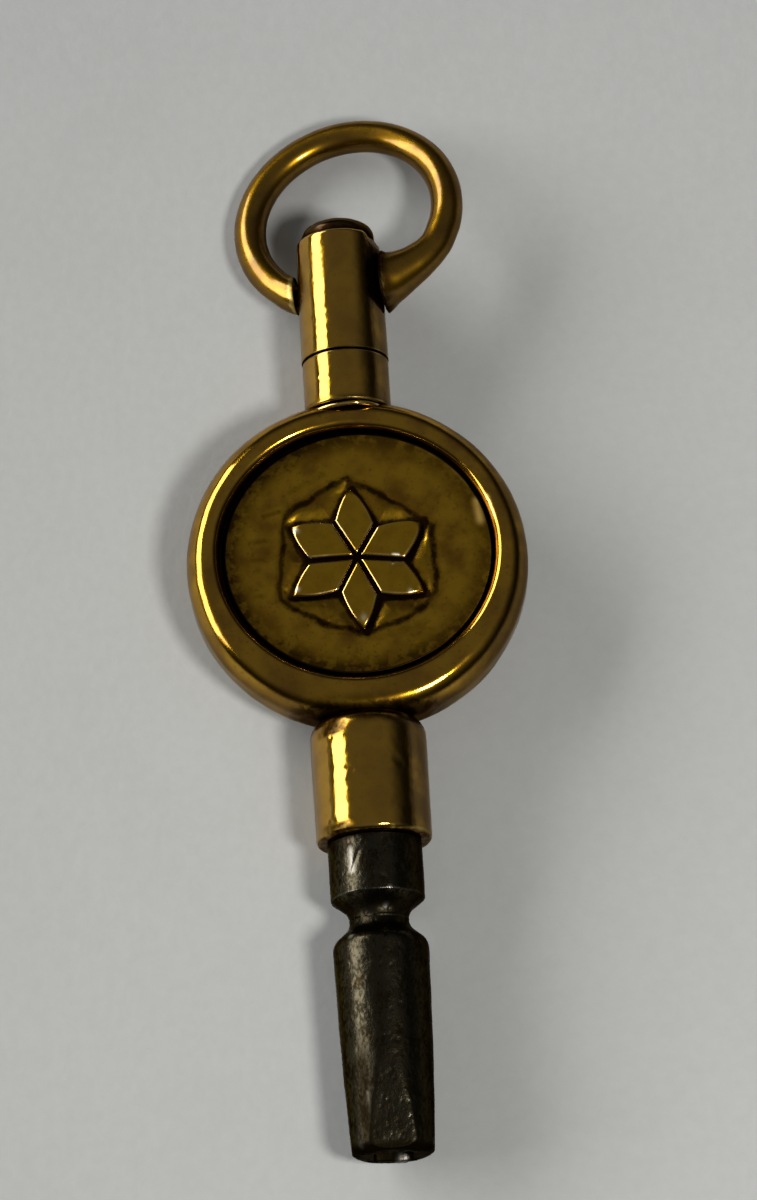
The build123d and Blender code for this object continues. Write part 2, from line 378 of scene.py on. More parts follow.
@dataclass(frozen=True)
class BrassFinish(Finish):
    """Old brass: warm metal under a thin skin, tarnished in patches, bright where rubbed, with painted glints
    and painted shade.
    """

    colour: Triple = (0.50, 0.270, 0.012)
    tarnish: Triple = (0.26, 0.125, 0.006)
    # Dark colour for grime, and for painted shade in hollows, nooks and soiled places.
    grime_and_shade: Triple = (0.011, 0.0045, 0.0015)
    # Colour of the painted shade on sides that face right and on steep sides.
    side_shade_colour: Triple = (0.085, 0.046, 0.006)
    bright: Triple = (0.74, 0.50, 0.13)
    tint: Triple = (0.62, 0.50, 0.30)
    tarnish_share: float = 0.35
    patch_size: float = 1.6
    blot_size: float = 0.4
    speck_size: float = 0.16
    roughness: float = 0.10
    rough_patches: float = 0.08
    rough_side_shade: float = 0.08
    rough_rub_and_glint: float = 0.28
    rough_dirt_and_shade: float = 0.22
    scratch_size: float = 0.07
    scratch_depth: float = 0.0012
    scratch_way: Triple = (1.0, 0.12, 1.0)
    coat: float = 0.8
    coat_roughness: float = 0.05
    side_shade: float = 0.8
    edge_rub: float = 0.75
    ao_shade_size: float = 0.4

    def inputs(self, build: TreeBuilder, place: Signal) -> dict[str, object]:
        """Lay tarnish, painted side shade, rubs and painted glints, and grime with painted shade, in that
        order.
        """
        relief, dirt_and_shade, rub_and_glint = build.layers()
        patches = build.noise(place, self.patch_size, 5.0)
        blots = build.noise(place, self.blot_size, 4.0).spread(0.36, 0.56, 0.5, 1.0)
        dirt_and_shade = dirt_and_shade * blots.max(build.math("POWER", dirt_and_shade, 3.0))
        dull = patches.spread(0.36, 0.74, 0.0, self.tarnish_share)
        specks = build.noise(place, self.speck_size, 2.0).spread(0.58, 0.72, 0.0, 0.55) * self.tarnish_share
        colour = build.mix(specks, build.mix(dull, self.colour, self.tarnish), self.tarnish)
        # Painted shade: sides that face right and steep sides are darkened, as if turned away from the light.
        side_shade = self.side_shade_mask(build) * patches.spread(0.3, 0.55, 0.75, 1.0)
        colour = build.mix(side_shade, colour, self.side_shade_colour)
        # Worn edges, rubs and painted glints are brightened.
        colour = build.mix(relief.spread(0.14, 0.6, 0.0, self.edge_rub).max(rub_and_glint), colour, self.bright)
        # Painted shade: ambient occlusion and hollows in the relief darken the colour, together with the soil's
        # dirt and painted shade.
        shade = build.node("ShaderNodeAmbientOcclusion", {"Distance": self.ao_shade_size * MM}, samples=8)
        ao_shade = shade.out("AO").spread(0.62, 0.2, 0.0, 0.95)
        all_dirt_and_shade = relief.spread(-0.08, -0.5, 0.0, 0.92).max(ao_shade).max(dirt_and_shade)
        rough = self.roughness + dull * (self.rough_patches / self.tarnish_share) + side_shade * self.rough_side_shade
        lines = build.noise(build.stretch(place, self.scratch_way), self.scratch_size, 2.0)
        return {
            "Base Color": build.mix(all_dirt_and_shade, colour, self.grime_and_shade),
            "Roughness": rough + rub_and_glint * self.rough_rub_and_glint + all_dirt_and_shade * self.rough_dirt_and_shade,
            "Coat Weight": build.math("SUBTRACT", 1.0, all_dirt_and_shade.max(side_shade * 0.6)) * self.coat,
            "Normal": build.bump(lines + build.noise(place, 0.05, 1.0) * 0.4, self.scratch_depth),
            "Metallic": 1.0, "Coat Roughness": self.coat_roughness, "Specular Tint": self.tint}

    def side_shade_mask(self, build: TreeBuilder) -> Signal:
        """Return the share of painted shade, on what faces right and on steep sides."""
        facing = build.node("ShaderNodeSeparateXYZ", {0: build.node("ShaderNodeTexCoord").out("Normal")})
        right = facing.spread(0.25, 0.70, 0.0, self.side_shade)
        low = build.math("ABSOLUTE", facing.out(2)).spread(0.62, 0.15, 0.0, self.side_shade)
        under = facing.spread(-0.5, 0.3, 0.55, 1.0).max(facing.out(1).spread(-0.2, -0.7, 0.55, 1.0))
        return (low * under).max(right)


@dataclass(frozen=True)
class SteelFinish(Finish):
    """Dark steel: blackened and pitted, with worn grey patches and a trace of brown rust."""

    colour: Triple = (0.048, 0.041, 0.026)
    black: Triple = (0.008, 0.0055, 0.002)
    rust: Triple = (0.024, 0.012, 0.004)
    bright: Triple = (0.40, 0.38, 0.33)
    tint: Triple = (0.42, 0.40, 0.34)
    grain_way: Triple = (1.0, 0.55, 1.0)
    patch_size: float = 0.5
    grain_size: float = 0.10
    rust_size: float = 0.8
    roughness: float = 0.20
    rough_black: float = 0.16
    rough_dirty_and_shaded: float = 0.25
    pit_depth: float = 0.007

    def inputs(self, build: TreeBuilder, place: Signal) -> dict[str, object]:
        """Lay black patches, rust, bright rubs and painted glints, then dirt and painted shade over the steel,
        in that order.
        """
        relief, dirt_and_shade, rub_and_glint = build.layers()
        drawn = build.stretch(place, self.grain_way)
        grain = build.noise(drawn, self.grain_size, 4.0)
        black = (build.noise(drawn, self.patch_size, 6.0) * 0.5 + grain * 0.5).spread(0.42, 0.60, 0.0, 0.85)
        red = build.noise(place, self.rust_size, 3.0).spread(0.55, 0.72, 0.0, 0.3)
        colour = build.mix(red, build.mix(black, self.colour, self.black), self.rust)
        # Worn edges, rubs and painted glints are brightened.
        colour = build.mix(relief.spread(0.2, 0.7, 0.0, 0.1).max(rub_and_glint), colour, self.bright)
        return {
            # Painted shade: where the soil is, the steel is painted black, as in the shade of hollows and
            # joints.
            "Base Color": build.mix(dirt_and_shade, colour, self.black),
            "Roughness": self.roughness + black * self.rough_black + dirt_and_shade * self.rough_dirty_and_shaded,
            "Normal": build.bump(grain + build.noise(place, 0.06, 2.0), self.pit_depth),
            "Metallic": 1.0, "Specular Tint": self.tint}


@dataclass(frozen=True)
class PaperFinish(Finish):
    """Pale uncoated paper with a faint fibre."""

    colour: Triple = (0.462, 0.468, 0.454)
    darkest: float = 0.955
    fibre_size: float = 0.5
    cloud_size: float = 6.0
    fibre_depth: float = 0.02
    roughness: float = 0.85
    gloss: float = 0.25

    def inputs(self, build: TreeBuilder, place: Signal) -> dict[str, object]:
        """Shade the paper by its fibre and by faint clouds."""
        fibre = build.noise(place, self.fibre_size, 6.0)
        tone = (fibre * 0.6 + build.noise(place, self.cloud_size, 2.0) * 0.4).spread(0.3, 0.7, 0.0, 1.0)
        darker = tuple(channel * self.darkest for channel in self.colour)
        return {"Base Color": build.mix(tone, self.colour, darker), "Roughness": self.roughness,
                "Normal": build.bump(fibre, self.fibre_depth), "Specular IOR Level": self.gloss}


# Shape helpers


def placed(name: str, data: bpy.types.ID) -> bpy.types.Object:
    """Link a new object with some data to the scene and return it."""
    made = bpy.data.objects.new(name, data)
    bpy.context.scene.collection.objects.link(made)
    return made


def rounded(points: list[Pair], radii: list[float], steps: int = 6) -> list[Pair]:
    """Round the corners of an open outline.

    Args:
        points: the outline's corners.
        radii: each corner's radius, 0 to leave it sharp, as the first and the last are.
        steps: pieces of each rounding.

    Returns:
        The outline with arcs for its corners.
    """
    made: list[Pair] = []
    for i, (corner, radius) in enumerate(zip(points, radii)):
        if radius == 0:
            made.append(corner)
            continue
        here = Vector(corner)
        ways = [(Vector(points[k]) - here).normalized() for k in (i - 1, i + 1)]
        half = ways[0].angle(ways[1]) / 2
        centre = here + (ways[0] + ways[1]).normalized() * (radius / math.sin(half))
        start, end = (here + way * (radius / math.tan(half)) - centre for way in ways)
        sweep = start.angle(end)
        for share in (k / steps for k in range(steps + 1)):
            arm = (start * math.sin((1 - share) * sweep) + end * math.sin(share * sweep)) / math.sin(sweep)
            made.append(tuple(centre + arm))
    return made


def spaced(points: list[Pair], spacing: float) -> list[Pair]:
    """Return an outline with points added, so that no run of it is longer than the spacing."""
    made = [points[0]]
    for a, b in zip(points, points[1:]):
        count = max(1, math.ceil(math.dist(a, b) / spacing))
        made += [tuple(place) for place in np.linspace(a, b, count + 1)[1:]]
    return made


def rise(values: Array, low: float, high: float) -> Array:
    """Ramp smoothly from 0 at low to 1 at high."""
    share = np.clip((values - low) / (high - low), 0.0, 1.0)
    return share * share * (3 - 2 * share)


def fall(values: Array, low: float, high: float) -> Array:
    """Ramp smoothly from 1 at low to 0 at high."""
    return 1 - rise(values, low, high)


def smooth_run(knots: Array, steps: int) -> Array:
    """Run a smooth line through knots.

    Args:
        knots: the knots, one in each row, with any number of values each.
        steps: pieces of the line between two knots.

    Returns:
        The line's rows, with both ends.
    """
    rows = np.vstack((2 * knots[0] - knots[1], knots, 2 * knots[-1] - knots[-2]))
    made = []
    for a, b, c, d in zip(rows, rows[1:], rows[2:], rows[3:]):
        for t in np.arange(steps) / steps:
            bend = (2 * a - 5 * b + 4 * c - d) * t ** 2 + (3 * b - a - 3 * c + d) * t ** 3
            made.append(0.5 * (2 * b + (c - a) * t + bend))
    return np.array([*made, knots[-1]])


def polar(degrees: tuple[float, ...], reaches: tuple[float, ...]) -> Array:
    """Return points in the plane, one in each row, from their angles and reaches."""
    angle = np.radians(degrees)
    return np.column_stack((np.cos(angle), np.sin(angle))) * np.array(reaches)[:, None]


def outline_depth(spots: Array, corners: Array) -> Array:
    """Measure how far inside a closed outline each spot is.

    Args:
        spots: points in the plane, one in each row.
        corners: the outline's corners, anticlockwise.

    Returns:
        Distance to the outline, positive inside it.
    """
    runs = np.roll(corners, -1, axis=0) - corners
    offset = spots[:, None, :] - corners[None]
    share = np.clip((offset * runs).sum(-1) / (runs * runs).sum(-1), 0, 1)
    nearest = np.linalg.norm(offset - share[..., None] * runs, axis=-1).min(1)
    low_start, low_end = offset[..., 1] >= 0, offset[..., 1] >= runs[:, 1]
    turn = runs[None, :, 0] * offset[..., 1] - runs[None, :, 1] * offset[..., 0]
    winding = (low_start & ~low_end & (turn > 0)).sum(1) - (~low_start & low_end & (turn < 0)).sum(1)
    return np.where(winding != 0, nearest, -nearest)


@contextmanager
def editing(mesh: Mesh) -> Iterator[bmesh.types.BMesh]:
    """Open a mesh for editing, and write it back after."""
    shell = bmesh.new()
    shell.from_mesh(mesh)
    yield shell
    shell.to_mesh(mesh)
    shell.free()


def ring_mesh(rings: list[Array], round_trip: bool = False) -> Mesh:
    """Join rings of points into a closed mesh.

    Args:
        rings: points of each ring in millimetres, all of one count. Without a round trip, the first
            and the last ring are single points repeated.
        round_trip: join the last ring to the first.

    Returns:
        The mesh, in metres, with its faces pointing outwards.
    """
    mesh = bpy.data.meshes.new("rings")
    with editing(mesh) as shell:
        rows = [[shell.verts.new(Vector(place) * MM) for place in ring] for ring in rings]
        if round_trip:
            rows.append(rows[0])
        else:
            for row in (rows[0], rows[-1]):
                for extra in row[1:]:
                    shell.verts.remove(extra)
                row[:] = [row[0]] * len(row)
        for lower, upper in zip(rows, rows[1:]):
            for i in range(len(lower)):
                j = (i + 1) % len(lower)
                corners = list(dict.fromkeys((lower[i], lower[j], upper[j], upper[i])))
                if len(corners) > 2:
                    shell.faces.new(corners)
        bmesh.ops.recalc_face_normals(shell, faces=shell.faces)
    return mesh


def outward(mesh: Mesh) -> Mesh:
    """Merge a closed mesh's doubles, turn its faces outwards and return it."""
    with editing(mesh) as shell:
        bmesh.ops.remove_doubles(shell, verts=shell.verts, dist=DOUBLE * MM)
        bmesh.ops.dissolve_degenerate(shell, edges=shell.edges, dist=DOUBLE / 5 * MM)
        bmesh.ops.recalc_face_normals(shell, faces=shell.faces)
    return mesh


def rows_of(items: bpy.types.bpy_prop_collection, label: str, width: int = 3, kind: type = float) -> Array:
    """Return one property of a mesh's vertices or edges, an item in each row."""
    flat = np.zeros(len(items) * width, kind)
    items.foreach_get(label, flat)
    return flat.reshape(-1, width)


def mesh_points(mesh: Mesh) -> Array:
    """Return a mesh's vertices in millimetres, one in each row."""
    return rows_of(mesh.vertices, "co") / MM


def set_points(mesh: Mesh, points: Array) -> None:
    """Write vertices in millimetres back to a mesh."""
    mesh.vertices.foreach_set("co", (points * MM).ravel())
    mesh.update()


def relief(mesh: Mesh, passes: int = 3, sharpest: float = 4.0) -> Array:
    """Measure how far each vertex stands out of its neighbours.

    Args:
        mesh: the mesh.
        passes: how many times the result is smoothed.
        sharpest: the bend that counts as 1, per millimetre.

    Returns:
        A share for each vertex, positive on edges and negative in hollows.
    """
    points, normals = mesh_points(mesh), rows_of(mesh.vertices, "normal")
    a, b = rows_of(mesh.edges, "vertices", 2, int).T
    run, size = points[b] - points[a], len(points)
    square = np.maximum((run * run).sum(1), 1e-8)
    count = np.maximum(np.bincount(a, minlength=size) + np.bincount(b, minlength=size), 1)
    bend = np.bincount(a, -(run * normals[a]).sum(1) / square, size)
    value = (bend + np.bincount(b, (run * normals[b]).sum(1) / square, size)) / count
    for _ in range(passes):
        value = (value + (np.bincount(a, value[b], size) + np.bincount(b, value[a], size)) / count) / 2
    return value / sharpest


def store(mesh: Mesh, label: str, values: Array, least: float = 0.0) -> None:
    """Store a share up to 1 for each vertex, for the finish to read."""
    layer = mesh.attributes.new(label, "FLOAT", "POINT")
    layer.data.foreach_set("value", np.clip(values, least, 1).astype(np.float32))


@dataclass(frozen=True)
class Mark:
    """A short line on a surface: a dent of that depth, a burr where it is negative, a rub, a painted glint or a
    dark patch.
    """

    start: Triple
    end: Triple
    width: float
    strength: float

    def share(self, points: Array) -> Array:
        """Return how strong the mark is at each point."""
        start, run = np.array(self.start), np.array(self.end) - np.array(self.start)
        along = np.clip((points - start) @ run / max(run @ run, 1e-9), 0, 1)
        reach = np.linalg.norm(points - start - along[:, None] * run, axis=1)
        return self.strength * fall(reach, 0, self.width)


def marks(*rows: tuple[float, ...]) -> tuple[Mark, ...]:
    """Make marks from rows: start, end, width and strength, or place, width and strength for a round one."""
    return tuple(Mark(row[:3], row[-5:-2], *row[-2:]) for row in rows)


def strongest(some: tuple[Mark, ...], points: Array) -> Array:
    """Return the strongest of some marks at each point."""
    return np.max([np.zeros(len(points)), *(mark.share(points) for mark in some)], axis=0)


@dataclass(frozen=True)
class Wear:
    """How a piece is worn: its waves and finer ripples, each by size and depth, its pits, dents, rubs and
    painted glints.
    """

    wave: Pair = (1.5, 0.02)
    ripple: Pair = (0.45, 0.005)
    pits: float = 0.0
    pit_radius: float = 0.12
    pit_depth: float = 0.0
    seed: int = 1
    dents: tuple[Mark, ...] = ()
    rubs_and_glints: tuple[Mark, ...] = ()


class Workshop:
    """Holds the node trees and the finished materials, and turns meshes into dressed pieces."""

    def __init__(self) -> None:
        """Build the trees."""
        self.turned, self.swept, self.rosette, self.worn = TurnedTree(), SweptTree(), RosetteTree(), WearTree()
        self.materials: dict[str, bpy.types.Material] = {}

    def paint(self, finish: Finish) -> bpy.types.Material:
        """Return a finish's material, made once."""
        if finish.name not in self.materials:
            self.materials[finish.name] = finish.material()
        return self.materials[finish.name]

    def turn(self, profile: list[Pair], finish: Finish, steps: int = 256) -> Mesh:
        """Turn an outline about the key's axis.

        Args:
            profile: radius and height of each outline point, in millimetres.
            finish: the finish it gets.
            steps: faces around.

        Returns:
            The closed mesh.
        """
        wire = bpy.data.meshes.new("outline")
        wire.from_pydata([(radius * MM, height * MM, 0) for radius, height in profile], [], [])
        return outward(self.turned.make(wire, Steps_Around=steps, Material=self.paint(finish)))

    def sweep(self, path: list[Vector], radii: list[float], finish: Finish, steps: int,
              closed: bool = False) -> Mesh:
        """Sweep a round section along a path.

        Args:
            path: the path's points, in millimetres.
            radii: the section's radius at each point.
            finish: the finish it gets.
            steps: faces around the section.
            closed: join the path's end to its start.

        Returns:
            The closed mesh.
        """
        curve = bpy.data.curves.new("path", "CURVE")
        curve.dimensions = "3D"
        line = curve.splines.new("POLY")
        line.points.add(len(path) - 1)
        line.use_cyclic_u = closed
        for point, place, radius in zip(line.points, path, radii):
            point.co = (*(place * MM), 1.0)
            point.radius = radius
        paint = self.paint(finish)
        return outward(self.swept.make(curve, Section_Steps=steps, Section_Radius=MM, Material=paint))

    def piece(self, name: str, mesh: Mesh, finish: Finish, wear: Wear, node: str = "",
              dirt_and_shade: Callable[[Array], Array] | None = None, body: Body = Body.KEY) -> None:
        """Wear, paint and mount a mesh.

        Args:
            name: the piece's name.
            mesh: its shape.
            finish: its finish.
            wear: how it is worn.
            node: the CAD node it stands for, if it does.
            dirt_and_shade: how dirty the surface is at each point, and how darkened by painted shade, from 0 to
                1.
            body: the CAD body it rides on.
        """
        for (size, depth), pits in ((wear.wave, wear.pits), (wear.ripple, 0.0)):
            mesh = self.worn.make(
                mesh, Wave_Size=size * MM, Wave_Depth=depth * 2 * MM, Pit_Density=pits / MM ** 2,
                Pit_Radius=wear.pit_radius * MM, Pit_Depth=wear.pit_depth * MM, Seed=wear.seed,
                Material=self.paint(finish))
        if wear.dents:
            points = mesh_points(mesh)
            depth = np.sum([dent.share(points) for dent in wear.dents], axis=0)
            set_points(mesh, points - rows_of(mesh.vertices, "normal") * depth[:, None])
        mesh.materials.clear()
        mesh.materials.append(self.paint(finish))
        points = mesh_points(mesh)
        # Rubs and painted glints brighten the finish and clear it of dirt and painted shade.
        rub_and_glint_share = strongest(wear.rubs_and_glints, points)
        store(mesh, "relief", relief(mesh), -1.0)
        store(mesh, "rub_and_glint", rub_and_glint_share)
        store(mesh, "dirt_and_shade", dirt_and_shade(points) * (1 - rub_and_glint_share) if dirt_and_shade else np.zeros(len(points)))
        mesh.name = name
        made = placed(name, mesh)
        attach(made, body.value)
        if node:
            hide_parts(node)
        LOG.info("%s: %d faces, on %s", name, len(mesh.polygons), body.value)


# Sub-assemblies


@dataclass
class KeyPipe:
    """The steel pipe: a tapered barrel with flats at its tip and a square socket, a waist and a collar.

    What is nearer the axis than the first of the wall's radii is the socket, and beyond the second is outside.
    """

    tip_radius: float = 1.75
    tip_round: float = 0.48
    shoulder_radius: float = 1.94
    barrel_length: float = 8.55
    shoulder_top: float = 9.2
    waist_radius: float = 1.2
    collar_base: float = 9.8
    collar_full: float = 10.35
    collar_radius: float = 1.91
    collar_top: float = 12.7
    outer_rounds: tuple[float, ...] = (0.6, 0.66, 0.66, 0.12, 0.06)
    tang_radius: float = 1.5
    tang_top: float = 17.59
    rivet_radius: float = 0.95
    rivet_top: float = 19.25
    socket_half: float = 0.75
    socket_depth: float = 5.5
    socket_corner: float = 9.0
    socket_blend: float = 0.38
    socket_spacing: float = 0.4
    mouth_chamfer: Pair = (0.05, 0.06)
    pilot_radius: float = 0.7
    pilot_depth: float = 6.4
    wall_radii: Pair = (1.18, 1.2)
    slack: float = 0.001
    flat_distance: float = 1.47
    side_flat_distance: float = 1.63
    flat_length: float = 4.0
    flat_rise: float = 0.1
    edge_blend: float = 0.05
    outer_spacing: float = 0.072
    steps: int = 224
    finish: SteelFinish = SteelFinish("dark_steel")
    wear: Wear = Wear(
        (0.9, 0.022), (0.24, 0.008), pits=5.0, pit_radius=0.10, pit_depth=0.018, seed=3,
        dents=marks((0.22, 0.0, -0.88, 0.42, 0.0, -0.88, 0.34, -0.11),
                    (0.9, 11.3, 1.6, 1.0, 11.1, 1.6, 0.25, 0.03),
                    (-1.1, 10.9, 1.6, -0.7, 11.9, 1.75, 0.12, 0.02),
                    (-0.2, 11.0, 1.9, 0.4, 10.8, 1.9, 0.14, 0.015)),
        # Bright spots: painted glints at the tip's edges, and rubbed steel with painted glints up the barrel
        # and collar.
        rubs_and_glints=marks((0.32, 0.0, -0.85, 0.42, 1.0), (-1.2, 0.3, 1.1, 0.25, 0.3), (1.55, 0.4, 0.6, 0.25, 0.3),
                   (-0.85, 2.3, 1.5, -0.75, 1.0, 1.45, 0.12, 0.3), (-1.15, 8.62, 1.4, 0.2, 0.8),
                   (0.3, 9.85, 1.25, 0.2, 0.6), (0.5, 10.4, 1.85, 0.16, 0.8),
                   (-0.95, 11.2, 1.6, -1.0, 12.1, 1.6, 0.2, 0.3)))

    def outline(self) -> list[Pair]:
        """Return the outline from the pilot hole's end, out of the socket and up to the rivet's end."""
        pilot = [(0, self.pilot_depth), (self.pilot_radius, self.pilot_depth),
                 (self.pilot_radius, self.socket_depth)]
        rim = (self.socket_half + self.mouth_chamfer[0], 0)
        socket = [(self.socket_half, self.socket_depth), (self.socket_half, self.mouth_chamfer[1]), rim]
        corners = [rim, (self.tip_radius, 0), (self.shoulder_radius, self.barrel_length),
                   (self.waist_radius, self.shoulder_top), (self.waist_radius, self.collar_base),
                   (self.collar_radius, self.collar_full), (self.collar_radius, self.collar_top),
                   (self.tang_radius, self.collar_top)]
        outside = spaced(rounded(corners, [0, self.tip_round, *self.outer_rounds, 0]), self.outer_spacing)
        hidden = [(self.tang_radius, self.tang_top), (self.rivet_radius, self.tang_top),
                  (self.rivet_radius, self.rivet_top), (0, self.rivet_top)]
        return pilot + spaced(socket, self.socket_spacing) + outside[1:] + hidden

    def shape(self, shop: Workshop) -> Mesh:
        """Turn the pipe, then file its flats and square its socket."""
        mesh = shop.turn(self.outline(), self.finish, self.steps)
        x, y, z = mesh_points(mesh).T
        radius, angle = np.hypot(x, z), np.arctan2(x, z)
        distance = np.where(np.abs(x) > np.abs(z), self.side_flat_distance, self.flat_distance)
        reach = distance + (self.tip_radius + self.flat_rise - distance) / self.flat_length * y
        flat = reach / np.cos(np.abs((angle + math.pi / 4) % (math.pi / 2) - math.pi / 4))
        soft = np.clip(0.5 + 0.5 * (flat - radius) / self.edge_blend, 0, 1)
        filed = flat * (1 - soft) + radius * soft - self.edge_blend * soft * (1 - soft)
        outer = (y < self.flat_length + 1) & (radius > self.wall_radii[1])
        new = np.where(outer, np.minimum(filed, radius), radius)
        power = self.socket_corner
        square = (np.abs(np.sin(angle)) ** power + np.abs(np.cos(angle)) ** power) ** (-1 / power)
        share = np.clip((self.tip_radius - self.tip_round - radius) / self.socket_blend, 0, 1)
        inner = (radius < self.wall_radii[0]) & (radius > self.pilot_radius + self.slack)
        inner &= y < self.socket_depth + self.slack
        new = np.where(inner, radius * (1 + (square - 1) * share), new)
        scale = np.where(radius > 1e-9, new / np.maximum(radius, 1e-9), 1.0)
        set_points(mesh, np.stack((x * scale, y, z * scale), axis=1))
        return mesh

    def dirt_and_shade(self, points: Array) -> Array:
        """Return painted shade: socket, tip, the dimmed highlight strip and right side, the waist and under the
        ferrule.
        """
        x, y, z = points.T
        radius, turn = np.hypot(x, z), np.degrees(np.arctan2(x, z))
        mouth = fall(radius, 1.12, 1.25) * fall(y, 6.5, 6.6)
        # Painted shade dims the window's highlight strip low on the barrel, and darkens the right side.
        dull = 0.88 * fall(y, 3.0, 5.4) * np.exp(-((turn + 33) / 15) ** 2)
        right = 0.6 * rise(turn, 25, 50) * fall(turn, 110, 130)
        waist = 0.6 * fall(np.abs(y - 9.7), 0.3, 0.65)
        joint = 0.8 * rise(y, self.collar_top - 0.3, self.collar_top)
        return np.max((mouth, fall(y, 0.15, 0.7), dull, right, waist, joint), axis=0)

    def dress(self, shop: Workshop) -> None:
        """Build the pipe and mount it on the key."""
        pipe = self.shape(shop)
        shop.piece("steel_pipe", pipe, self.finish, self.wear, "key_pipe", self.dirt_and_shade)


@dataclass(frozen=True)
class Collar:
    """A turned brass sleeve about the key's axis: its bore, and the place, radius and rounding of its ends."""

    bore: float
    base: float
    base_radius: float
    base_round: float
    top: float
    top_radius: float
    top_round: float
    spacing: float = 0.06
    chamfer: float = 0.0
    steps: int = 6

    def outline(self) -> list[Pair]:
        """Return the closed outline, from the bore's foot out, up and back in."""
        feet = [(self.bore, self.base + self.chamfer), (self.bore + self.chamfer, self.base)]
        feet = feet if self.chamfer else feet[:1]
        corners = [*feet, (self.base_radius, self.base), (self.top_radius, self.top), (self.bore, self.top),
                   feet[0]]
        radii = [0] * len(feet) + [self.base_round, self.top_round, 0, 0]
        return spaced(rounded(corners, radii, self.steps), self.spacing)


@dataclass
class Ferrule:
    """The brass ferrule that holds the pipe to the medallion."""

    form: Collar = Collar(1.51, 12.7, 2.33, 0.24, 17.85, 2.37, 0.78, 0.07, chamfer=0.1, steps=10)
    finish: BrassFinish = BrassFinish(
        "ferrule_brass", tarnish_share=0.6, patch_size=1.1, roughness=0.09, side_shade=0.92)
    wear: Wear = Wear(
        (1.8, 0.02), (0.36, 0.008), seed=5,
        dents=marks(
            (-1.5, 17.3, 1.75, -1.0, 17.2, 2.05, 0.3, 0.04), (-1.5, 16.72, 1.8, -0.9, 16.66, 2.1, 0.1, 0.014),
            (-1.25, 15.7, 1.9, -0.7, 15.2, 2.2, 0.16, 0.024), (-1.3, 15.3, 1.85, -0.9, 15.25, 2.1, 0.12, 0.016),
            (-1.2, 14.55, 1.95, -0.8, 14.5, 2.1, 0.15, 0.02), (-1.7, 13.2, 1.6, -0.6, 13.15, 2.15, 0.3, 0.03),
            (1.0, 15.6, 2.0, 1.2, 15.4, 1.9, 0.3, 0.02)),
        # Painted highlights: a glint on the right shoulder and one at the foot's front edge.
        rubs_and_glints=marks((1.45, 17.45, 1.5, 0.32, 0.9), (0.75, 12.78, 2.1, 0.2, 0.8)))

    def dirt_and_shade(self, points: Array) -> Array:
        """Return painted shade where the ferrule meets the medallion and the steel, on its highlight's ends and
        bore.
        """
        x, y, z = points.T
        form, up, down = self.form, y - self.form.base, self.form.top - y
        top = np.maximum(0.8 * fall(down, 0.5, 0.85), fall(down, 0.3, 0.5))
        ends = np.maximum(fall(up, 0.4, 0.55), fall(down, 1.0, 1.15))
        ends = 0.98 * ends * np.exp(-((np.degrees(np.arctan2(x, z)) + 38) / 20) ** 4)
        bore = fall(np.hypot(x, z), form.bore + 0.2, form.base_radius - 0.1)
        return np.max((top, 0.9 * fall(up, 0.05, 0.16), ends, bore), axis=0)

    def dress(self, shop: Workshop) -> None:
        """Turn the ferrule and mount it on the key."""
        mesh = shop.turn(self.form.outline(), self.finish)
        shop.piece("ferrule_shell", mesh, self.finish, self.wear, "ferrule", self.dirt_and_shade)


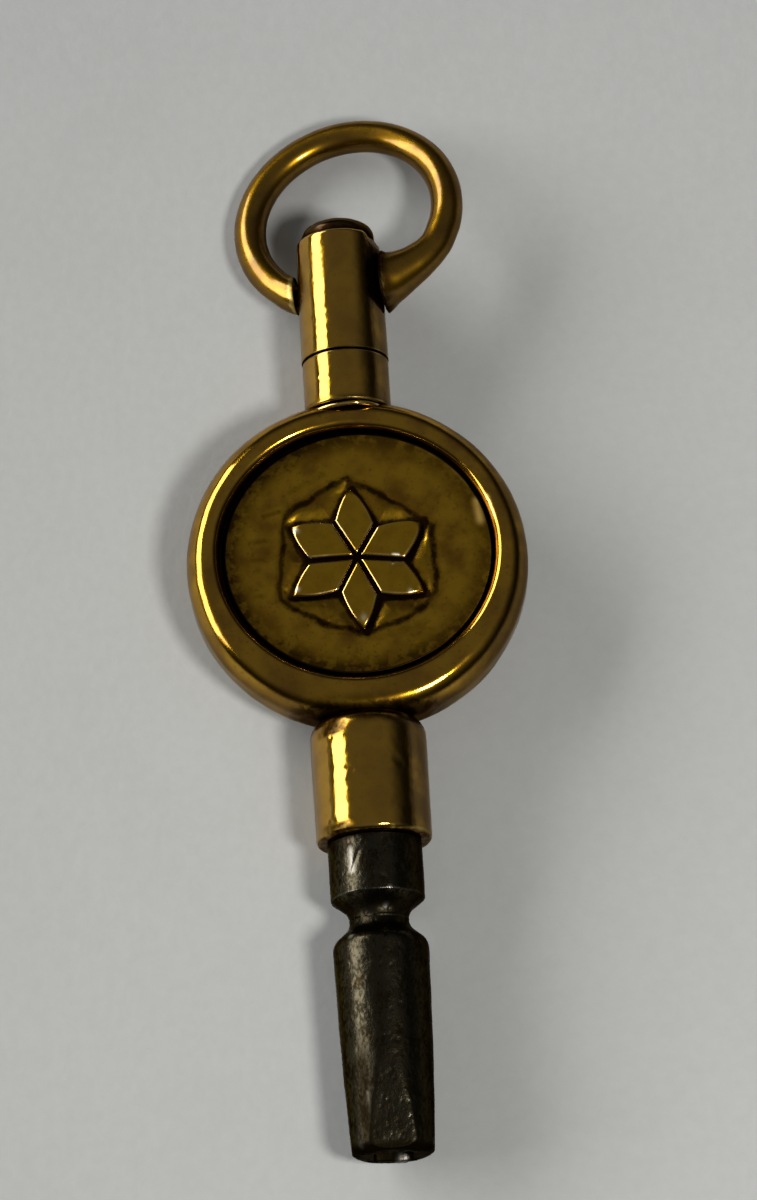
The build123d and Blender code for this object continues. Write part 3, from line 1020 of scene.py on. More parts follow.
@dataclass
class Medallion:
    """The medallion: a turned rim with an oval recess, and a stamped plaque with a rosette on each face.

    In a plaque's own plane, angles are in degrees and reaches in millimetres from the medallion's middle.
    """

    centre: float = 24.6
    radius: float = 7.0
    half_thickness: float = 1.5
    crest_radius: float = 6.1
    half_band: float = 0.3
    lip_round: float = 0.38
    rim_steps: int = 360
    recess_centre: float = 24.8
    recess_half: Pair = (5.66, 5.4)
    plaque_steps: int = 336
    plaque_stops: tuple[tuple[float, float, int], ...] = ((0.0, 0.42, 30), (0.42, 0.72, 46), (0.72, 1.0, 42))
    plaque_base: float = 0.25
    plaque_clearance: float = 0.02
    plaque_swell: Pair = (0.04, 5.3)
    flange_level: float = 0.75
    face_level: float = 1.05
    groove_width: float = 0.18
    groove_squeeze: float = 0.45
    edge_round: float = 0.1
    rosette_radius: float = 3.08
    notch_radius: float = 1.77
    petals: int = 6
    petal_gap: float = 0.085
    petal_belly: Pair = (0.044, 0.0748)
    petal_rise: float = 0.05
    petal_crown: float = 0.012
    petal_bevel: float = 0.12
    petal_droop: float = 0.2
    petal_flare: Pair = (0.03, 0.26)
    petal_foot: float = 0.74
    trench_depth: float = 0.13
    trench_width: float = 0.75
    inner_sink: float = 0.02
    border_depth: float = 0.03
    border_width: float = 0.15
    # How far the painted shadow round the rosette is shifted, towards its shaded side.
    soil_shift: Pair = (0.10, -0.09)
    # Darker patches on the plaque, some of them painted shadow beside the rosette's border.
    dark_patches: tuple[Mark, ...] = marks(
        (-3.75, 26.6, 1.05, -2.95, 26.8, 1.05, 0.17, 0.7), (-4.35, 25.5, 1.05, -3.7, 25.53, 1.05, 0.2, 0.75),
        (-4.3, 24.75, 1.05, -3.8, 24.7, 1.05, 0.17, 0.7), (-4.05, 24.26, 1.05, 0.25, 0.7),
        (-4.35, 23.13, 1.05, -3.95, 23.15, 1.05, 0.18, 0.6), (0.6, 21.1, 1.05, 2.6, 21.6, 1.05, 0.3, 0.5),
        (2.9, 22.4, 1.05, 3.3, 23.6, 1.05, 0.3, 0.45), (0.15, 27.8, 1.05, 2.3, 26.5, 1.05, 0.18, 0.9),
        (-0.9, 21.35, 1.05, 0.5, 21.25, 1.05, 0.16, 0.7), (3.0, 23.6, 1.05, 3.05, 25.2, 1.05, 0.2, 0.6),
        (-2.6, 27.6, 1.05, -1.2, 28.3, 1.05, 0.22, 0.45))
    turn: float = 2.5
    wobble: float = 0.008
    cut_angles: tuple[float, ...] = (
        92.5, 119.1, 150.6, 181.2, 208.9, 241.6, 272.4, 295.6, 328.0, 353.1, 387.6, 417.8)
    cut_reaches: tuple[float, ...] = (3.1, 1.82, 3.1, 2.0, 3.1, 1.62, 3.18, 1.87, 3.16, 1.97, 3.13, 1.58)
    border_corners: tuple[Pair, ...] = (
        (20.7, 3.36), (36.0, 3.06), (94.9, 3.49), (139.9, 3.44), (151.8, 3.34), (207.2, 3.64), (213.9, 3.42),
        (246.2, 3.14), (272.3, 3.26), (299.1, 3.25), (319.4, 3.47), (332.3, 3.53))
    border_wavers: tuple[tuple[float, ...], ...] = (
        (0.035, 3.1, 1.7, 0.0), (0.03, -2.1, 5.3, 1.0), (0.02, 9.1, 0.0, 3.0))
    rim_finish: BrassFinish = BrassFinish(
        "rim_brass", tarnish=(0.20, 0.09, 0.005), tarnish_share=0.75, patch_size=1.3,
        scratch_way=(1.0, 1.0, 1.0), coat=0.55, side_shade=0.9)
    plaque_finish: BrassFinish = BrassFinish(
        "plaque_face_brass", (0.56, 0.315, 0.014), (0.20, 0.088, 0.004), tarnish_share=0.9, patch_size=1.1,
        roughness=0.16, rough_patches=0.10, coat=0.3, side_shade=0.0, scratch_way=(0.8, 1.0, 1.0), edge_rub=0.1)
    # Its bright colour is near white, for the painted glints at the petals' tips.
    petal_finish: BrassFinish = BrassFinish(
        "petal_brass", (0.54, 0.31, 0.012), tarnish_share=0.55, patch_size=0.6, roughness=0.17, coat=0.25,
        side_shade=0.0, scratch_way=(0.8, 1.0, 1.0), bright=(0.95, 0.86, 0.62), edge_rub=0.2)
    rim_wear: Wear = Wear(
        (2.2, 0.035), (0.5, 0.007), seed=11,
        dents=marks((5.0, 26.6, 1.4, 4.9, 27.1, 1.4, 0.3, 0.06),
                    (-1.6, 18.6, 1.5, -1.3, 18.5, 1.5, 0.14, 0.02)),
        rubs_and_glints=marks((5.5, 26.8, 1.4, 5.65, 25.9, 1.4, 0.2, 0.6)))
    plaque_wear: Wear = Wear(
        (1.3, 0.022), (0.33, 0.006), pits=0.5, pit_radius=0.16, pit_depth=0.018, seed=17,
        # The first is a worn patch; the other two are a painted highlight along the plaque's raised edge.
        rubs_and_glints=marks((5.03, 26.75, 0.95, 5.12, 25.9, 0.95, 0.34, 0.8),
                   (2.75, 29.35, 0.95, 4.0, 28.5, 0.95, 0.14, 0.3),
                   (4.0, 28.5, 0.95, 4.75, 27.5, 0.95, 0.16, 0.45)))
    petal_wear: Wear = Wear(
        (1.0, 0.016), (0.3, 0.005), seed=23, dents=marks((1.48, 24.42, 1.12, 1.42, 24.16, 1.12, 0.1, 0.035)),
        # Painted glints at the petals' tips and at a notch.
        rubs_and_glints=marks((-2.42, 25.86, 1.0, 0.24, 1.0), (-2.5, 23.36, 1.0, 0.22, 1.0),
                   (0.13, 21.97, 0.98, 0.26, 1.0), (2.08, 22.98, 1.0, 0.22, 1.0),
                   (1.5, 24.62, 1.1, 1.68, 24.58, 1.1, 0.1, 1.0), (1.42, 24.2, 1.1, 0.08, 1.0)))

    def oval(self, angle: Array, inset: float = 0.0) -> Array:
        """Return how far the recess's edge, less an inset, is from the medallion's middle at each angle."""
        a, b = self.recess_half[0] - inset, self.recess_half[1] - inset
        up = self.recess_centre - self.centre
        p = (np.cos(angle) / a) ** 2 + (np.sin(angle) / b) ** 2
        q = -up * np.sin(angle) / b ** 2
        return (-q + np.sqrt(q * q - p * ((up / b) ** 2 - 1))) / p

    def right_share(self, angle: Array) -> Array:
        """Return 1 where the plaque fits its recess closely, on its right, falling to 0 on its left."""
        return np.clip(np.cos(angle - math.radians(25.0)), 0, 1)

    def face_edge(self, angle: Array) -> Array:
        """Return how far the edge of a plaque's face is from the middle, inside the groove round it."""
        return self.oval(angle) - self.groove_width * (1 - self.groove_squeeze * self.right_share(angle))

    def rim_mesh(self) -> Mesh:
        """Build the rim, ring by ring around its section, and return it."""
        angle = np.linspace(0, TURN, self.rim_steps, endpoint=False)
        inner, flat = self.oval(angle), np.ones(self.rim_steps)
        lip, top = self.lip_round, self.half_thickness
        half = [(inner, level) for level in np.linspace(0, top - lip, 8)[1:-1]]
        half += [(inner + lip * (1 - math.cos(t)), top - lip + lip * math.sin(t))
                 for t in np.linspace(0, TURN / 4, 11)]
        edge = inner + lip
        half += [(edge + (self.crest_radius - edge) * share, top) for share in (0.33, 0.67, 1.0)]
        reach, drop = self.radius - self.crest_radius, top - self.half_band
        half += [(flat * (self.crest_radius + reach * math.sin(t)), self.half_band + drop * math.cos(t))
                 for t in np.linspace(0, TURN / 4, 20)[1:]]
        half.append((flat * self.radius, self.half_band / 2))
        section = half + [(flat * self.radius, 0.0)] + [(r, -z) for r, z in reversed(half)] + [(inner, 0.0)]
        return ring_mesh([np.stack((r * np.cos(angle), self.centre + r * np.sin(angle), flat * z), 1)
                          for r, z in section], round_trip=True)

    def star(self) -> Array:
        """Return the corners of the rosette's whole outline, tips and notches in turn."""
        return polar(self.cut_angles, self.cut_reaches)

    def in_border(self, spots: Array) -> Array:
        """Return how far inside the chased line round the rosette each spot is, with its hand-cut waver."""
        x, y = spots.T
        wavers = [depth * np.sin(a * x + b * y + start) for depth, a, b, start in self.border_wavers]
        return outline_depth(spots, polar(*zip(*self.border_corners))) + np.sum(wavers, axis=0)

    def face_level_at(self, spots: Array) -> Array:
        """Return how high a plaque's face is at each spot: swollen, sunk round the rosette and chased."""
        inside, from_star = self.in_border(spots), -outline_depth(spots, self.star())
        line = self.border_depth * np.exp(-(inside / self.border_width) ** 2)
        trench = self.trench_depth * fall(from_star, 0.05, self.trench_width) * rise(inside, -0.1, 0.4)
        swell, width = self.plaque_swell
        hollow = swell * (np.linalg.norm(spots, axis=1) / width) ** 2
        return self.face_level - hollow - self.inner_sink * rise(inside, -0.02, 0.2) - trench - line

    def plaque_mesh(self) -> Mesh:
        """Build a plaque as rings from its middle over its face, edge and flange, and back underneath."""
        angle = np.linspace(0, TURN, self.plaque_steps, endpoint=False)
        flange_edge, face_edge = self.oval(angle, self.plaque_clearance), self.face_edge(angle)
        way = np.stack((np.cos(angle), np.sin(angle)), 1)
        flat_edge = (face_edge - self.edge_round)[:, None] * way
        stops = [stop for run in self.plaque_stops for stop in np.linspace(*run)[1:]]
        faces = [(flat_edge * stop, self.face_level_at(flat_edge * stop)) for stop in stops]
        rings = [(way * 0, self.face_level_at(way * 1e-6).mean()), *faces]
        last = faces[-1][1]
        for t in np.linspace(0, TURN / 4, 8)[1:]:
            out = face_edge - self.edge_round * (1 - math.sin(t))
            rings.append((way * out[:, None], last - self.edge_round * (1 - math.cos(t))))
        gap = flange_edge - face_edge
        for t in np.linspace(0, 1, 7)[1:]:
            share = math.sin(t * math.pi / 2)
            level = (last - self.edge_round) * (1 - share) + self.flange_level * share
            rings.append((way * (face_edge + gap * t * 0.5)[:, None], level))
        flange = way * flange_edge[:, None]
        rings += [(way * (face_edge + gap * 0.75)[:, None], self.flange_level), (flange, self.flange_level),
                  (flange, (self.flange_level + self.plaque_base) / 2), (flange, self.plaque_base),
                  (flange * 0.5, self.plaque_base), (way * 0, self.plaque_base)]
        return ring_mesh([
            np.column_stack((spots[:, 0], self.centre + spots[:, 1], np.broadcast_to(level, len(angle))))
            for spots, level in rings])

    def petal_outline(self) -> Array:
        """Return one petal's outline, its tip along +X, with bellied outer edges and room for the grooves."""
        half_step = math.pi / self.petals
        notch = Vector((math.cos(half_step), math.sin(half_step))) * self.notch_radius
        tip, root = Vector((self.rosette_radius, 0.0)), Vector((self.petal_gap / math.sin(half_step), 0.0))
        along, belly = notch.normalized(), Vector(self.petal_belly)
        start = notch + Vector((along.y, -along.x)) * self.petal_gap
        upper = [root.lerp(start, t) for t in np.linspace(0, 1, 16)]
        upper += [start.lerp(tip, t) + belly * math.sin(math.pi * t) for t in np.linspace(0, 1, 24)[1:]]
        lower = [Vector((p.x, -p.y)) for p in reversed(upper[1:-1])]
        return np.array([tuple(p) for p in lower + upper[:-1] + [tip]])

    def petal_mesh(self) -> Mesh:
        """Build one petal at the origin, with a crowned top, rounded edges and steep sides into the plaque."""
        outline, bevel = self.petal_outline(), self.petal_bevel
        middle, count = np.array((self.rosette_radius * 0.52, 0.0)), len(outline)
        rings = []
        for share in (0.0, 0.15, 0.3, 0.45, 0.6, 0.7, 0.78, *np.linspace(0.84, 1.0, 13)):
            spots = middle + (outline - middle) * share
            depth = np.maximum(outline_depth(spots, outline), 0.0) if share < 1 else np.zeros(count)
            edge = np.sqrt(np.clip(1 - (1 - np.clip(depth / bevel, 0, 1)) ** 2, 0, 1)) * bevel * 0.8
            droop = self.petal_droop * np.clip((spots[:, 0] - self.rosette_radius) / 0.5 + 1, 0, 1) ** 2
            crown = self.petal_crown * rise(depth, 0.0, 0.75)
            level = self.face_level + self.petal_rise - bevel * 0.8 + edge + crown - droop
            level = level if share > 0 else np.full(count, level.mean())
            rings.append(np.column_stack((spots, level)))
        along = np.roll(outline, -1, axis=0) - np.roll(outline, 1, axis=0)
        away = np.column_stack((along[:, 1], -along[:, 0])) / np.linalg.norm(along, axis=1)[:, None]
        least, most = self.petal_flare
        away *= (least + (most - least) * rise(outline[:, 0], 1.35, 1.75))[:, None]
        for share in np.linspace(0, 1, 9)[1:]:
            sunk = level * (1 - share) + self.petal_foot * share
            rings.append(np.column_stack((outline + away * share ** 1.2, sunk)))
        rings.append(np.tile((*middle, self.petal_foot), (count, 1)))
        return ring_mesh(rings)

    def warp(self, mesh: Mesh) -> Mesh:
        """Draw the rosette's tips and notches to their hand-cut places, which are a little uneven."""
        corner = np.arange(2 * self.petals + 1)
        true_angle = np.radians(90 + self.turn) + math.pi / self.petals * corner
        true_reach = np.where(corner % 2, self.notch_radius, self.rosette_radius)
        points = mesh_points(mesh)
        x, y = points[:, 0], points[:, 1] - self.centre
        angle = (np.arctan2(y, x) - true_angle[0]) % TURN + true_angle[0]
        cut_angle = np.interp(angle, true_angle, np.radians((*self.cut_angles, self.cut_angles[0] + 360)))
        scale = np.interp(angle, true_angle, np.array((*self.cut_reaches, self.cut_reaches[0])) / true_reach)
        reach = np.hypot(x, y) * scale
        points[:, 0], points[:, 1] = reach * np.cos(cut_angle), self.centre + reach * np.sin(cut_angle)
        set_points(mesh, points)
        return mesh

    def rosette_shade(self, points: Array) -> Array:
        """Return the painted shade on the petals: their sides and the grooves between them."""
        reach = np.hypot(points[:, 0], points[:, 1] - self.centre)
        droop = self.petal_droop * rise(reach, self.rosette_radius - 0.5, self.rosette_radius)
        return 0.95 * fall(np.abs(points[:, 2]) + droop, self.face_level - 0.07, self.face_level)

    def plaque_dirt_and_shade(self, points: Array) -> Array:
        """Return painted shade on a plaque: groove, edge, round the petals to their shadow side, the chased
        line, dark patches.
        """
        x, y = points[:, 0] * np.sign(points[:, 2]), points[:, 1] - self.centre
        reach, angle = np.hypot(x, y), np.arctan2(y, x)
        right, from_edge = self.right_share(angle), self.face_edge(angle) - reach
        shade = 0.92 * (1 - 0.25 * right) * fall(from_edge, 0.25, 1.15)
        groove = fall(from_edge + 0.07 * right, 0.1, 0.22)
        beside, near = np.zeros(len(points)), reach < self.rosette_radius + 1
        spots = np.column_stack((x, y))[near]
        from_star = -outline_depth(spots, self.star())
        from_shifted = -outline_depth(spots, self.star() + np.array(self.soil_shift))
        inside = self.in_border(spots)
        beside[near] = np.max((0.98 * fall(from_star, 0.18, 0.38), fall(from_shifted, 0.14, 0.34),
                               0.98 * np.exp(-(inside / 0.2) ** 4), 0.5 * rise(inside, -0.1, 0.1)), axis=0)
        front = points * np.array((1, 1, 1) if points[:, 2].mean() > 0 else (-1, 1, -1))
        return np.max((shade, groove, beside, strongest(self.dark_patches, front)), axis=0)

    def rim_shade(self, points: Array) -> Array:
        """Return the painted shade on the rim: the recess's wall below the lip, and by the ferrule and the
        neck.
        """
        x, y, z = points[:, 0], points[:, 1] - self.centre, points[:, 2]
        inside = np.hypot(x, y) - self.oval(np.arctan2(y, x))
        wall = fall(np.abs(z), self.half_thickness - 0.34, self.half_thickness - 0.2) * fall(inside, 0.2, 0.3)
        from_axis = np.hypot(x, z)
        foot = 0.97 * fall(from_axis, 2.4, 4.2) * fall(y, -6.4, -5.85)
        crown = 0.95 * fall(from_axis, 1.8, 2.3) * rise(y, 6.3, 6.6)
        return np.max((wall, foot, crown), axis=0)

    def flip(self, mesh: Mesh, side: Side) -> Mesh:
        """Turn a front piece about the key's axis to its side and return it."""
        mesh.transform(Matrix.Rotation(side.value, 4, "Y"))
        return mesh

    def dress(self, shop: Workshop) -> None:
        """Build the rim, the plaques and their rosettes and mount them on the key."""
        rim = self.rim_mesh()
        shop.piece("medallion_ring", rim, self.rim_finish, self.rim_wear, "medallion_rim", self.rim_shade)
        petal, plaque, middle = self.petal_mesh(), self.plaque_mesh(), (0.0, self.centre * MM, 0.0)
        for side, node, seed in ((Side.FRONT, "front_plaque", 4), (Side.BACK, "back_plaque", 9)):
            name, plate = side.name.lower(), self.flip(plaque.copy(), side)
            shop.piece(f"{name}_plaque_plate", plate, self.plaque_finish, self.plaque_wear, node,
                       self.plaque_dirt_and_shade)
            ring = shop.rosette.make(
                petal, Petals=self.petals, Centre=middle, Turn=math.radians(90 + self.turn),
                Wobble=self.wobble, Seed=seed, Material=shop.paint(self.petal_finish))
            ring = self.flip(self.warp(ring), side)
            shop.piece(f"{name}_rosette", ring, self.petal_finish, self.petal_wear, dirt_and_shade=self.rosette_shade)


@dataclass(frozen=True)
class Pivot:
    """The bow's axis across the sleeve: how high it is on the key, and its turn about the key in degrees."""

    height: float = 36.9
    turn: float = 12.6

    def origin(self) -> Vector:
        """Return the place where the axis crosses the key's."""
        return Vector((0, self.height, 0))

    def reach(self, points: Array) -> tuple[Array, Array]:
        """Return how far along the axis each point is, and how far from it."""
        x, y, z = points.T
        along = x * math.cos(math.radians(self.turn)) + z * math.sin(math.radians(self.turn))
        return along, np.sqrt(np.maximum(x * x + z * z - along * along, 0) + (y - self.height) ** 2)


@dataclass
class Swivel:
    """The neck collar on the rim, and the sleeve that turns above it on the riveted stem."""

    neck_form: Collar = Collar(0.64, 31.3, 1.8, 0.1, 33.55, 1.8, 0.05)
    sleeve_form: Collar = Collar(0.67, 33.58, 1.82, 0.05, 39.05, 1.79, 0.16, 0.055)
    bead_radius: float = 0.09
    bead_inset: Pair = (0.12, 0.16)
    bead_waver: float = 0.02
    bead_steps: tuple[int, int] = (96, 20)
    stem_radius: float = 0.62
    stem_foot: float = 30.35
    stem_spacing: float = 0.07
    stem_steps: int = 160
    head_base: float = 39.08
    head_radius: float = 1.53
    head_inset: float = 0.06
    head_edge: float = 0.05
    head_skirt: float = 0.2
    head_height: float = 0.88
    pivot: Pivot = Pivot()
    finish: BrassFinish = BrassFinish(
        "swivel_brass", tarnish_share=0.6, patch_size=1.1, roughness=0.09, side_shade=0.92)
    # The rivet head's brass is painted far darker than the rest, standing in for the shade it lies in.
    head_finish: BrassFinish = BrassFinish("rivet_brass", (0.085, 0.042, 0.01), (0.03, 0.014, 0.006),
                                           tarnish_share=0.8, patch_size=0.8, roughness=0.16, coat=0.25)
    neck_wear: Wear = Wear((1.5, 0.016), (0.34, 0.007), seed=31,
                           dents=marks((-1.1, 32.45, 1.4, -0.75, 32.3, 1.6, 0.07, 0.012)))
    sleeve_wear: Wear = Wear(
        (1.6, 0.016), (0.34, 0.007), seed=37,
        dents=marks(
            (-1.5, 36.3, 1.0, -0.95, 36.95, 1.5, 0.06, 0.016),
            (-1.25, 35.2, 1.3, -0.95, 35.05, 1.5, 0.06, 0.012),
            (-1.2, 34.3, 1.35, -0.95, 34.2, 1.5, 0.06, 0.01), (1.45, 39.0, 1.0, 1.8, 38.95, 0.2, 0.6, 0.2)))
    stem_wear: Wear = Wear((0.8, 0.03), (0.3, 0.006), seed=41)

    def neck_dirt_and_shade(self, points: Array) -> Array:
        """Return the dark seam and painted shade on the neck: its top edge, under the sleeve, and its foot."""
        up, down = points[:, 1] - self.neck_form.base, self.neck_form.top - points[:, 1]
        return np.maximum(fall(down, 0.04, 0.1), 0.8 * fall(up, 0.05, 0.3))

    def sleeve_dirt_and_shade(self, points: Array) -> Array:
        """Return painted shade on the sleeve round the pivots, heaviest at the right one, and dark seams at its
        ends.
        """
        across, from_pivot = self.pivot.reach(points)
        y, form = points[:, 1], self.sleeve_form
        seams = np.maximum(fall(y - form.base, 0.04, 0.1), 0.7 * fall(form.top - y, 0, 0.09))
        pivot_shade = 0.97 * rise(across, 1.0, 1.5) * fall(from_pivot, 1.45, 2.4) * rise(y, 35.4, 36.2)
        holes = 0.95 * fall(from_pivot, 0.9, 1.6) * rise(np.abs(across), 0.9, 1.3)
        return np.max((holes, pivot_shade, seams), axis=0)

    def stem_shade(self, points: Array) -> Array:
        """Return the painted shade on the stem: under the rivet head and on its skirt."""
        return fall(points[:, 1], self.head_base + 0.1, self.head_base + 0.4)

    def bead(self, shop: Workshop) -> Mesh:
        """Run a bead of solder round the neck's foot and return it."""
        path = []
        inset, drop = self.bead_inset
        for angle in np.linspace(0, TURN, self.bead_steps[0], endpoint=False):
            reach = self.neck_form.base_radius - inset + self.bead_waver * math.sin(5 * angle)
            level = self.neck_form.base - drop + self.bead_waver * math.sin(3 * angle)
            path.append(Vector((reach * math.sin(angle), level, reach * math.cos(angle))))
        return shop.sweep(path, [self.bead_radius] * len(path), self.finish, self.bead_steps[1], closed=True)

    def stem_outline(self) -> list[Pair]:
        """Return the stem's outline, from its foot up to the top of its domed rivet head."""
        dome = [(self.head_radius * math.cos(t) ** 0.8,
                 self.head_base + self.head_skirt + (self.head_height - self.head_skirt) * math.sin(t) ** 0.9)
                for t in np.linspace(0, TURN / 4, 26)[:-1]]
        return [(0, self.stem_foot), (self.stem_radius, self.stem_foot), (self.stem_radius, self.head_base),
                (self.head_radius - self.head_inset, self.head_base),
                (self.head_radius, self.head_base + self.head_edge), *dome,
                (0, self.head_base + self.head_height)]

    def dress(self, shop: Workshop) -> None:
        """Build the neck and its bead, the sleeve and the stem and mount them."""
        neck = shop.turn(self.neck_form.outline(), self.finish)
        shop.piece("neck_band", neck, self.finish, self.neck_wear, "neck_collar", self.neck_dirt_and_shade)
        shop.piece("neck_solder_bead", self.bead(shop), self.finish, self.neck_wear)
        sleeve = shop.turn(self.sleeve_form.outline(), self.finish)
        shop.piece("swivel_barrel", sleeve, self.finish, self.sleeve_wear, "swivel_sleeve", self.sleeve_dirt_and_shade,
                   Body.SWIVEL)
        stem = shop.turn(spaced(self.stem_outline(), self.stem_spacing), self.head_finish, self.stem_steps)
        shop.piece("stem_rivet", stem, self.head_finish, self.stem_wear, "stem_pin", self.stem_shade)


@dataclass
class Bow:
    """The bow: a round wire ring whose ends flare into bosses and pivot in the sleeve on short tenons.

    In the bow's own plane, places are measured across, along the pivot, and ahead of it to the crest.
    """

    pivot: Pivot = Pivot()
    drop: float = 12.1
    wire_radius: float = 0.68
    ring_radius: float = 4.31
    ring_rise: float = 3.745
    ring_offset: float = 0.335
    right_leg: tuple[Triple, ...] = (
        (1.20, 0.12, 1.62), (1.93, 0.31, 1.29), (2.40, 0.44, 1.05), (2.95, 0.70, 0.88), (3.42, 1.00, 0.78),
        (3.84, 1.36, 0.71))
    right_start: float = -26.0
    right_blend: float = 0.2
    left_foot: float = -1.2
    left_flare: float = 0.05
    flare_start: float = -2.8
    end: float = 1.93
    end_round: float = 0.09
    tenon_radius: float = 0.36
    tenon_chamfer: float = 0.04
    tenon_reach: Pair = (-0.75, 0.3)
    leg_steps: int = 8
    ring_steps: int = 170
    section_steps: int = 80
    tenon_steps: tuple[int, int] = (8, 40)
    finish: BrassFinish = BrassFinish(
        "bow_brass", (0.26, 0.136, 0.006), (0.12, 0.055, 0.003), tarnish_share=0.8, patch_size=1.1,
        roughness=0.25, coat=0.5, side_shade=0.75)
    wear: Wear = Wear((2.0, 0.02), (0.6, 0.004), seed=47)
    tenon_wear: Wear = Wear((1.5, 0.004), (0.45, 0.002), seed=53)

    def axes(self) -> tuple[Vector, Vector]:
        """Return the pivot's direction and the bow's, from the pivot to its crest."""
        turn, drop = math.radians(self.pivot.turn), math.radians(self.drop)
        across = Vector((math.cos(turn), 0, math.sin(turn)))
        return across, Matrix.Rotation(-turn, 3, "Y") @ Vector((0, math.cos(drop), -math.sin(drop)))

    def arc(self, angle: float) -> Triple:
        """Return where the ring's centreline is at an angle, across and ahead, and the wire's radius there."""
        x = self.ring_offset + self.ring_radius * math.cos(angle)
        swell = self.left_flare * float(rise(np.array(x), self.flare_start, -self.end))
        swell = swell if angle > math.pi else 0.0
        return x, self.ring_rise + self.ring_radius * math.sin(angle), self.wire_radius + swell

    def path(self) -> tuple[list[Vector], list[float]]:
        """Return the centreline and its radii, from the right foot over the ring to the left one."""
        start = math.radians(self.right_start)
        join = start + self.right_blend
        last = TURN - math.acos((self.left_foot - self.ring_offset) / self.ring_radius)
        right = smooth_run(np.array([*self.right_leg, self.arc(start), self.arc(join)]), self.leg_steps)
        spots = [*right, *(self.arc(angle) for angle in np.linspace(join, last, self.ring_steps)[1:])]
        across, ahead = self.axes()
        places = [self.pivot.origin() + across * float(x) + ahead * float(y) for x, y, _ in spots]
        return places, [float(radius) for *_, radius in spots]

    def trim(self, mesh: Mesh) -> Mesh:
        """Saw both legs off flat beside the sleeve and round the sawn edges.

        Args:
            mesh: the swept ring, its legs run too far in.

        Returns:
            The same mesh, closed again.
        """
        across, ahead = self.axes()
        origin = self.pivot.origin() * MM
        with editing(mesh) as shell:
            for way in (across, -across):
                low = {v for v in shell.verts
                       if (v.co - origin).dot(ahead) < self.ring_rise * MM and (v.co - origin).dot(way) > 0}
                parts = [*low, *(e for e in shell.edges if low.issuperset(e.verts)),
                         *(f for f in shell.faces if low.issuperset(f.verts))]
                sawn = bmesh.ops.bisect_plane(
                    shell, geom=parts, dist=1e-8, plane_co=origin + way * self.end * MM, plane_no=way,
                    clear_inner=True)["geom_cut"]
                edges = [e for e in sawn if isinstance(e, bmesh.types.BMEdge)]
                bmesh.ops.holes_fill(shell, edges=edges, sides=0)
                bmesh.ops.bevel(shell, geom=edges, offset=self.end_round * MM, segments=4, profile=0.5,
                                affect="EDGES", clamp_overlap=True)
            bmesh.ops.triangulate(shell, faces=[f for f in shell.faces if len(f.verts) > 4])
            for face in shell.faces:
                face.smooth = True
        return mesh

    def dirt_and_shade(self, points: Array) -> Array:
        """Return the painted shade on the bow: its end faces by the sleeve, most on the right one."""
        across, reach = self.pivot.reach(points)
        right = fall(across, self.end + 0.08, self.end + 0.55)
        left = 0.6 * fall(-across, self.end + 0.02, self.end + 0.2)
        return fall(reach, 1.9, 2.4) * np.where(across > 0, right, left)

    def dress(self, shop: Workshop) -> None:
        """Sweep the bow and its tenons and mount them."""
        mesh = outward(self.trim(shop.sweep(*self.path(), self.finish, self.section_steps)))
        shop.piece("bow_ring", mesh, self.finish, self.wear, "bow", self.dirt_and_shade, Body.BOW)
        across, _ = self.axes()
        for way, name in ((across, "right"), (-across, "left")):
            count, steps = self.tenon_steps
            reaches = self.end + np.linspace(*self.tenon_reach, count)
            run = [self.pivot.origin() + way * float(reach) for reach in reaches]
            radii = [self.tenon_radius - self.tenon_chamfer] + [self.tenon_radius] * (count - 1)
            pin = shop.sweep(run, radii, self.finish, steps)
            # The tenons are painted dark all over: painted shade, as they sit inside the sleeve.
            shop.piece(f"bow_tenon_{name}", pin, self.finish, self.tenon_wear,
                       dirt_and_shade=lambda points: np.ones(len(points)), body=Body.BOW)


# Stage


@dataclass(frozen=True)
class Lamp:
    """One soft lamp: its direction and distance from the key, its size, and how bright its face is."""

    name: str
    towards: Triple
    distance: float
    size: Pair
    radiance: float
    colour: Triple = (1.0, 1.0, 1.0)
    round: bool = False

    def light(self, target: Vector) -> None:
        """Place the lamp and aim it at the target."""
        data = bpy.data.lights.new(self.name, "AREA")
        data.shape = "ELLIPSE" if self.round else "RECTANGLE"
        data.size, data.size_y = self.size
        data.energy = self.radiance * math.pi * data.size * data.size_y * (math.pi / 4 if self.round else 1)
        data.color = self.colour
        made = placed(self.name, data)
        way = Vector(self.towards).normalized()
        made.location = target + way * self.distance
        made.rotation_euler = way.to_track_quat("Z", "Y").to_euler()
        made.visible_camera = False


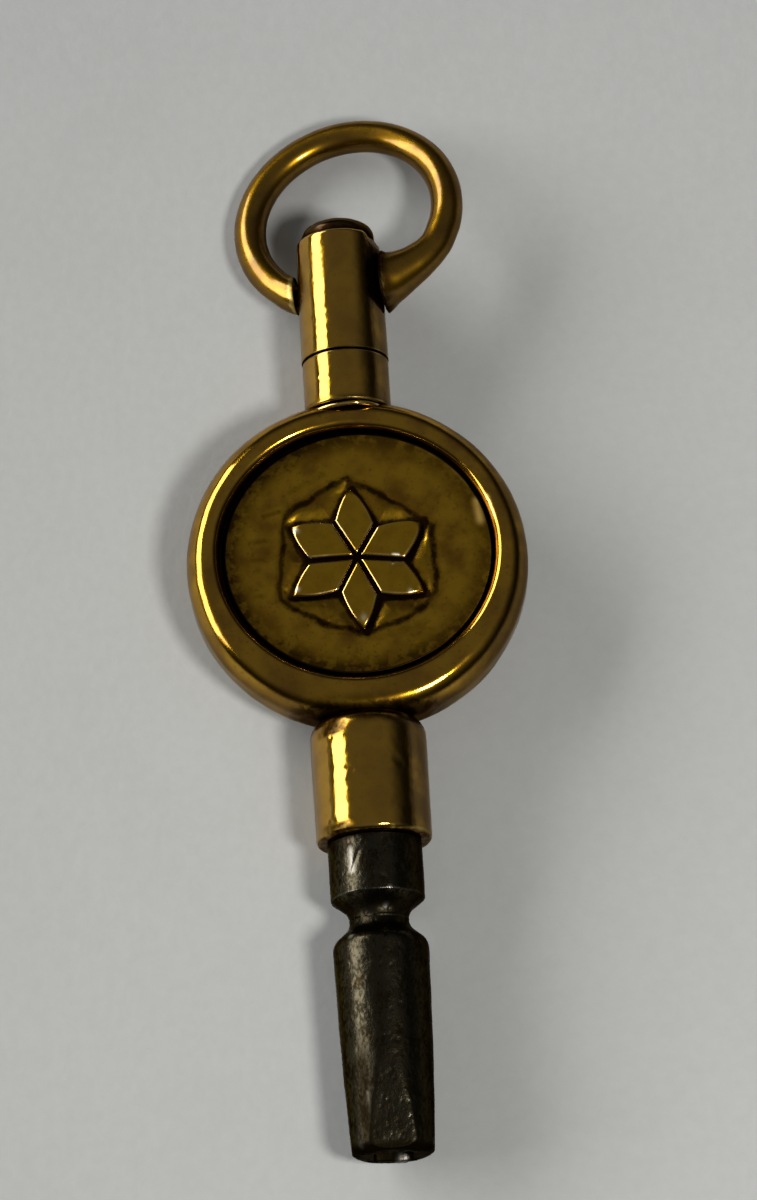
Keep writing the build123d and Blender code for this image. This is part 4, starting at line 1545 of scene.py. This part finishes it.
@dataclass
class Stage:
    """The paper, the lamps, the room and the camera."""

    aim: Triple = (0.77, 23.05, 0.0)
    distance: float = 165.0
    pitch: float = 19.5
    azimuth: float = -0.5
    roll: float = 3.6
    pixels_per_mm: float = 24.43
    frame_height: float = 1200.0
    sensor: float = 36.0
    clip: Pair = (0.01, 20.0)
    floor_half: float = 2.5
    floor_level: float = -2.33
    floor_foot: float = 17.4
    floor_fall: float = 0.66
    lamp_aim: Triple = (0, 22, 0)
    room_colour: Triple = (1.0, 1.0, 0.98)
    paper: PaperFinish = PaperFinish("paper")
    lamps: tuple[Lamp, ...] = (
        Lamp("window_left", (-0.832, 0.342, 0.437), 0.8, (1.0, 0.37), 6.8),
        Lamp("lamp_right", (0.35, -0.38, 0.86), 0.15, (0.0285, 0.0285), 64.0, (1.0, 0.99, 0.97), True))

    def floor(self, shop: Workshop) -> None:
        """Lay the paper under the ferrule and the bow."""
        mesh = bpy.data.meshes.new("paper")
        with editing(mesh) as shell:
            bmesh.ops.create_grid(shell, x_segments=8, y_segments=8, size=self.floor_half)
        mesh.transform(Matrix.Rotation(-math.radians(self.floor_fall), 4, "X"))
        mesh.transform(Matrix.Translation(Vector((0, self.floor_foot, self.floor_level)) * MM))
        mesh.materials.append(shop.paint(self.paper))
        made = placed("paper_floor", mesh)

    def room(self) -> None:
        """Light the room: dim overhead, dark walls and a pale band at the horizon."""
        world = bpy.data.worlds.new("room")
        bpy.context.scene.world = world
        world.use_nodes = True
        build = TreeBuilder(world.node_tree)
        up = build.node("ShaderNodeSeparateXYZ", {0: build.node("ShaderNodeTexCoord").out("Generated")}).out(2)
        ceiling, horizon, walls = up.spread(0.30, 0.85, 0.0, 0.132), up.spread(0.02, 0.16, 0.25, 0.0), 0.018
        light = {"Color": self.room_colour, "Strength": ceiling + horizon + walls}
        build.feed(world.node_tree.nodes["Background"], light)

    def camera(self) -> None:
        """Set the camera where the key is seen as it is pictured."""
        pitch, azimuth, roll = (math.radians(a) for a in (self.pitch, self.azimuth, self.roll))
        level = Vector((math.sin(azimuth), 0, math.cos(azimuth))) * math.cos(pitch)
        back = (level - Vector((0, math.sin(pitch), 0))).normalized()
        side = Vector((0, 1, 0)).cross(back).normalized()
        over = back.cross(side)
        right = side * math.cos(roll) - over * math.sin(roll)
        up = side * math.sin(roll) + over * math.cos(roll)
        data = bpy.data.cameras.new("camera")
        data.sensor_width = self.sensor
        data.lens = self.pixels_per_mm * self.distance / self.frame_height * self.sensor
        data.clip_start, data.clip_end = self.clip
        made = placed("camera", data)
        turn = Matrix((right, up, back)).transposed().to_4x4()
        made.matrix_world = Matrix.Translation((Vector(self.aim) + back * self.distance) * MM) @ turn
        bpy.context.scene.camera = made

    def set_up(self, shop: Workshop) -> None:
        """Build the whole stage."""
        self.floor(shop)
        self.room()
        for lamp in self.lamps:
            lamp.light(Vector(self.lamp_aim) * MM)
        self.camera()
        bpy.context.scene.view_settings.view_transform = "Standard"


def main() -> None:
    """Load the frame, dress it and set the stage."""
    logging.basicConfig(level=logging.INFO, format="%(name)s %(message)s")
    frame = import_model()
    shop = Workshop()
    for part in (KeyPipe(), Ferrule(), Medallion(), Swivel(), Bow()):
        part.dress(shop)
    paint = shop.paint(BrassFinish("core_brass", tarnish_share=0.6, roughness=0.3))
    for holder in frame["nodes"]["core_disc"].material_slots:
        holder.material = paint
    Stage().set_up(shop)
    bpy.context.view_layer.update()


if __name__ == "__main__":
    main()
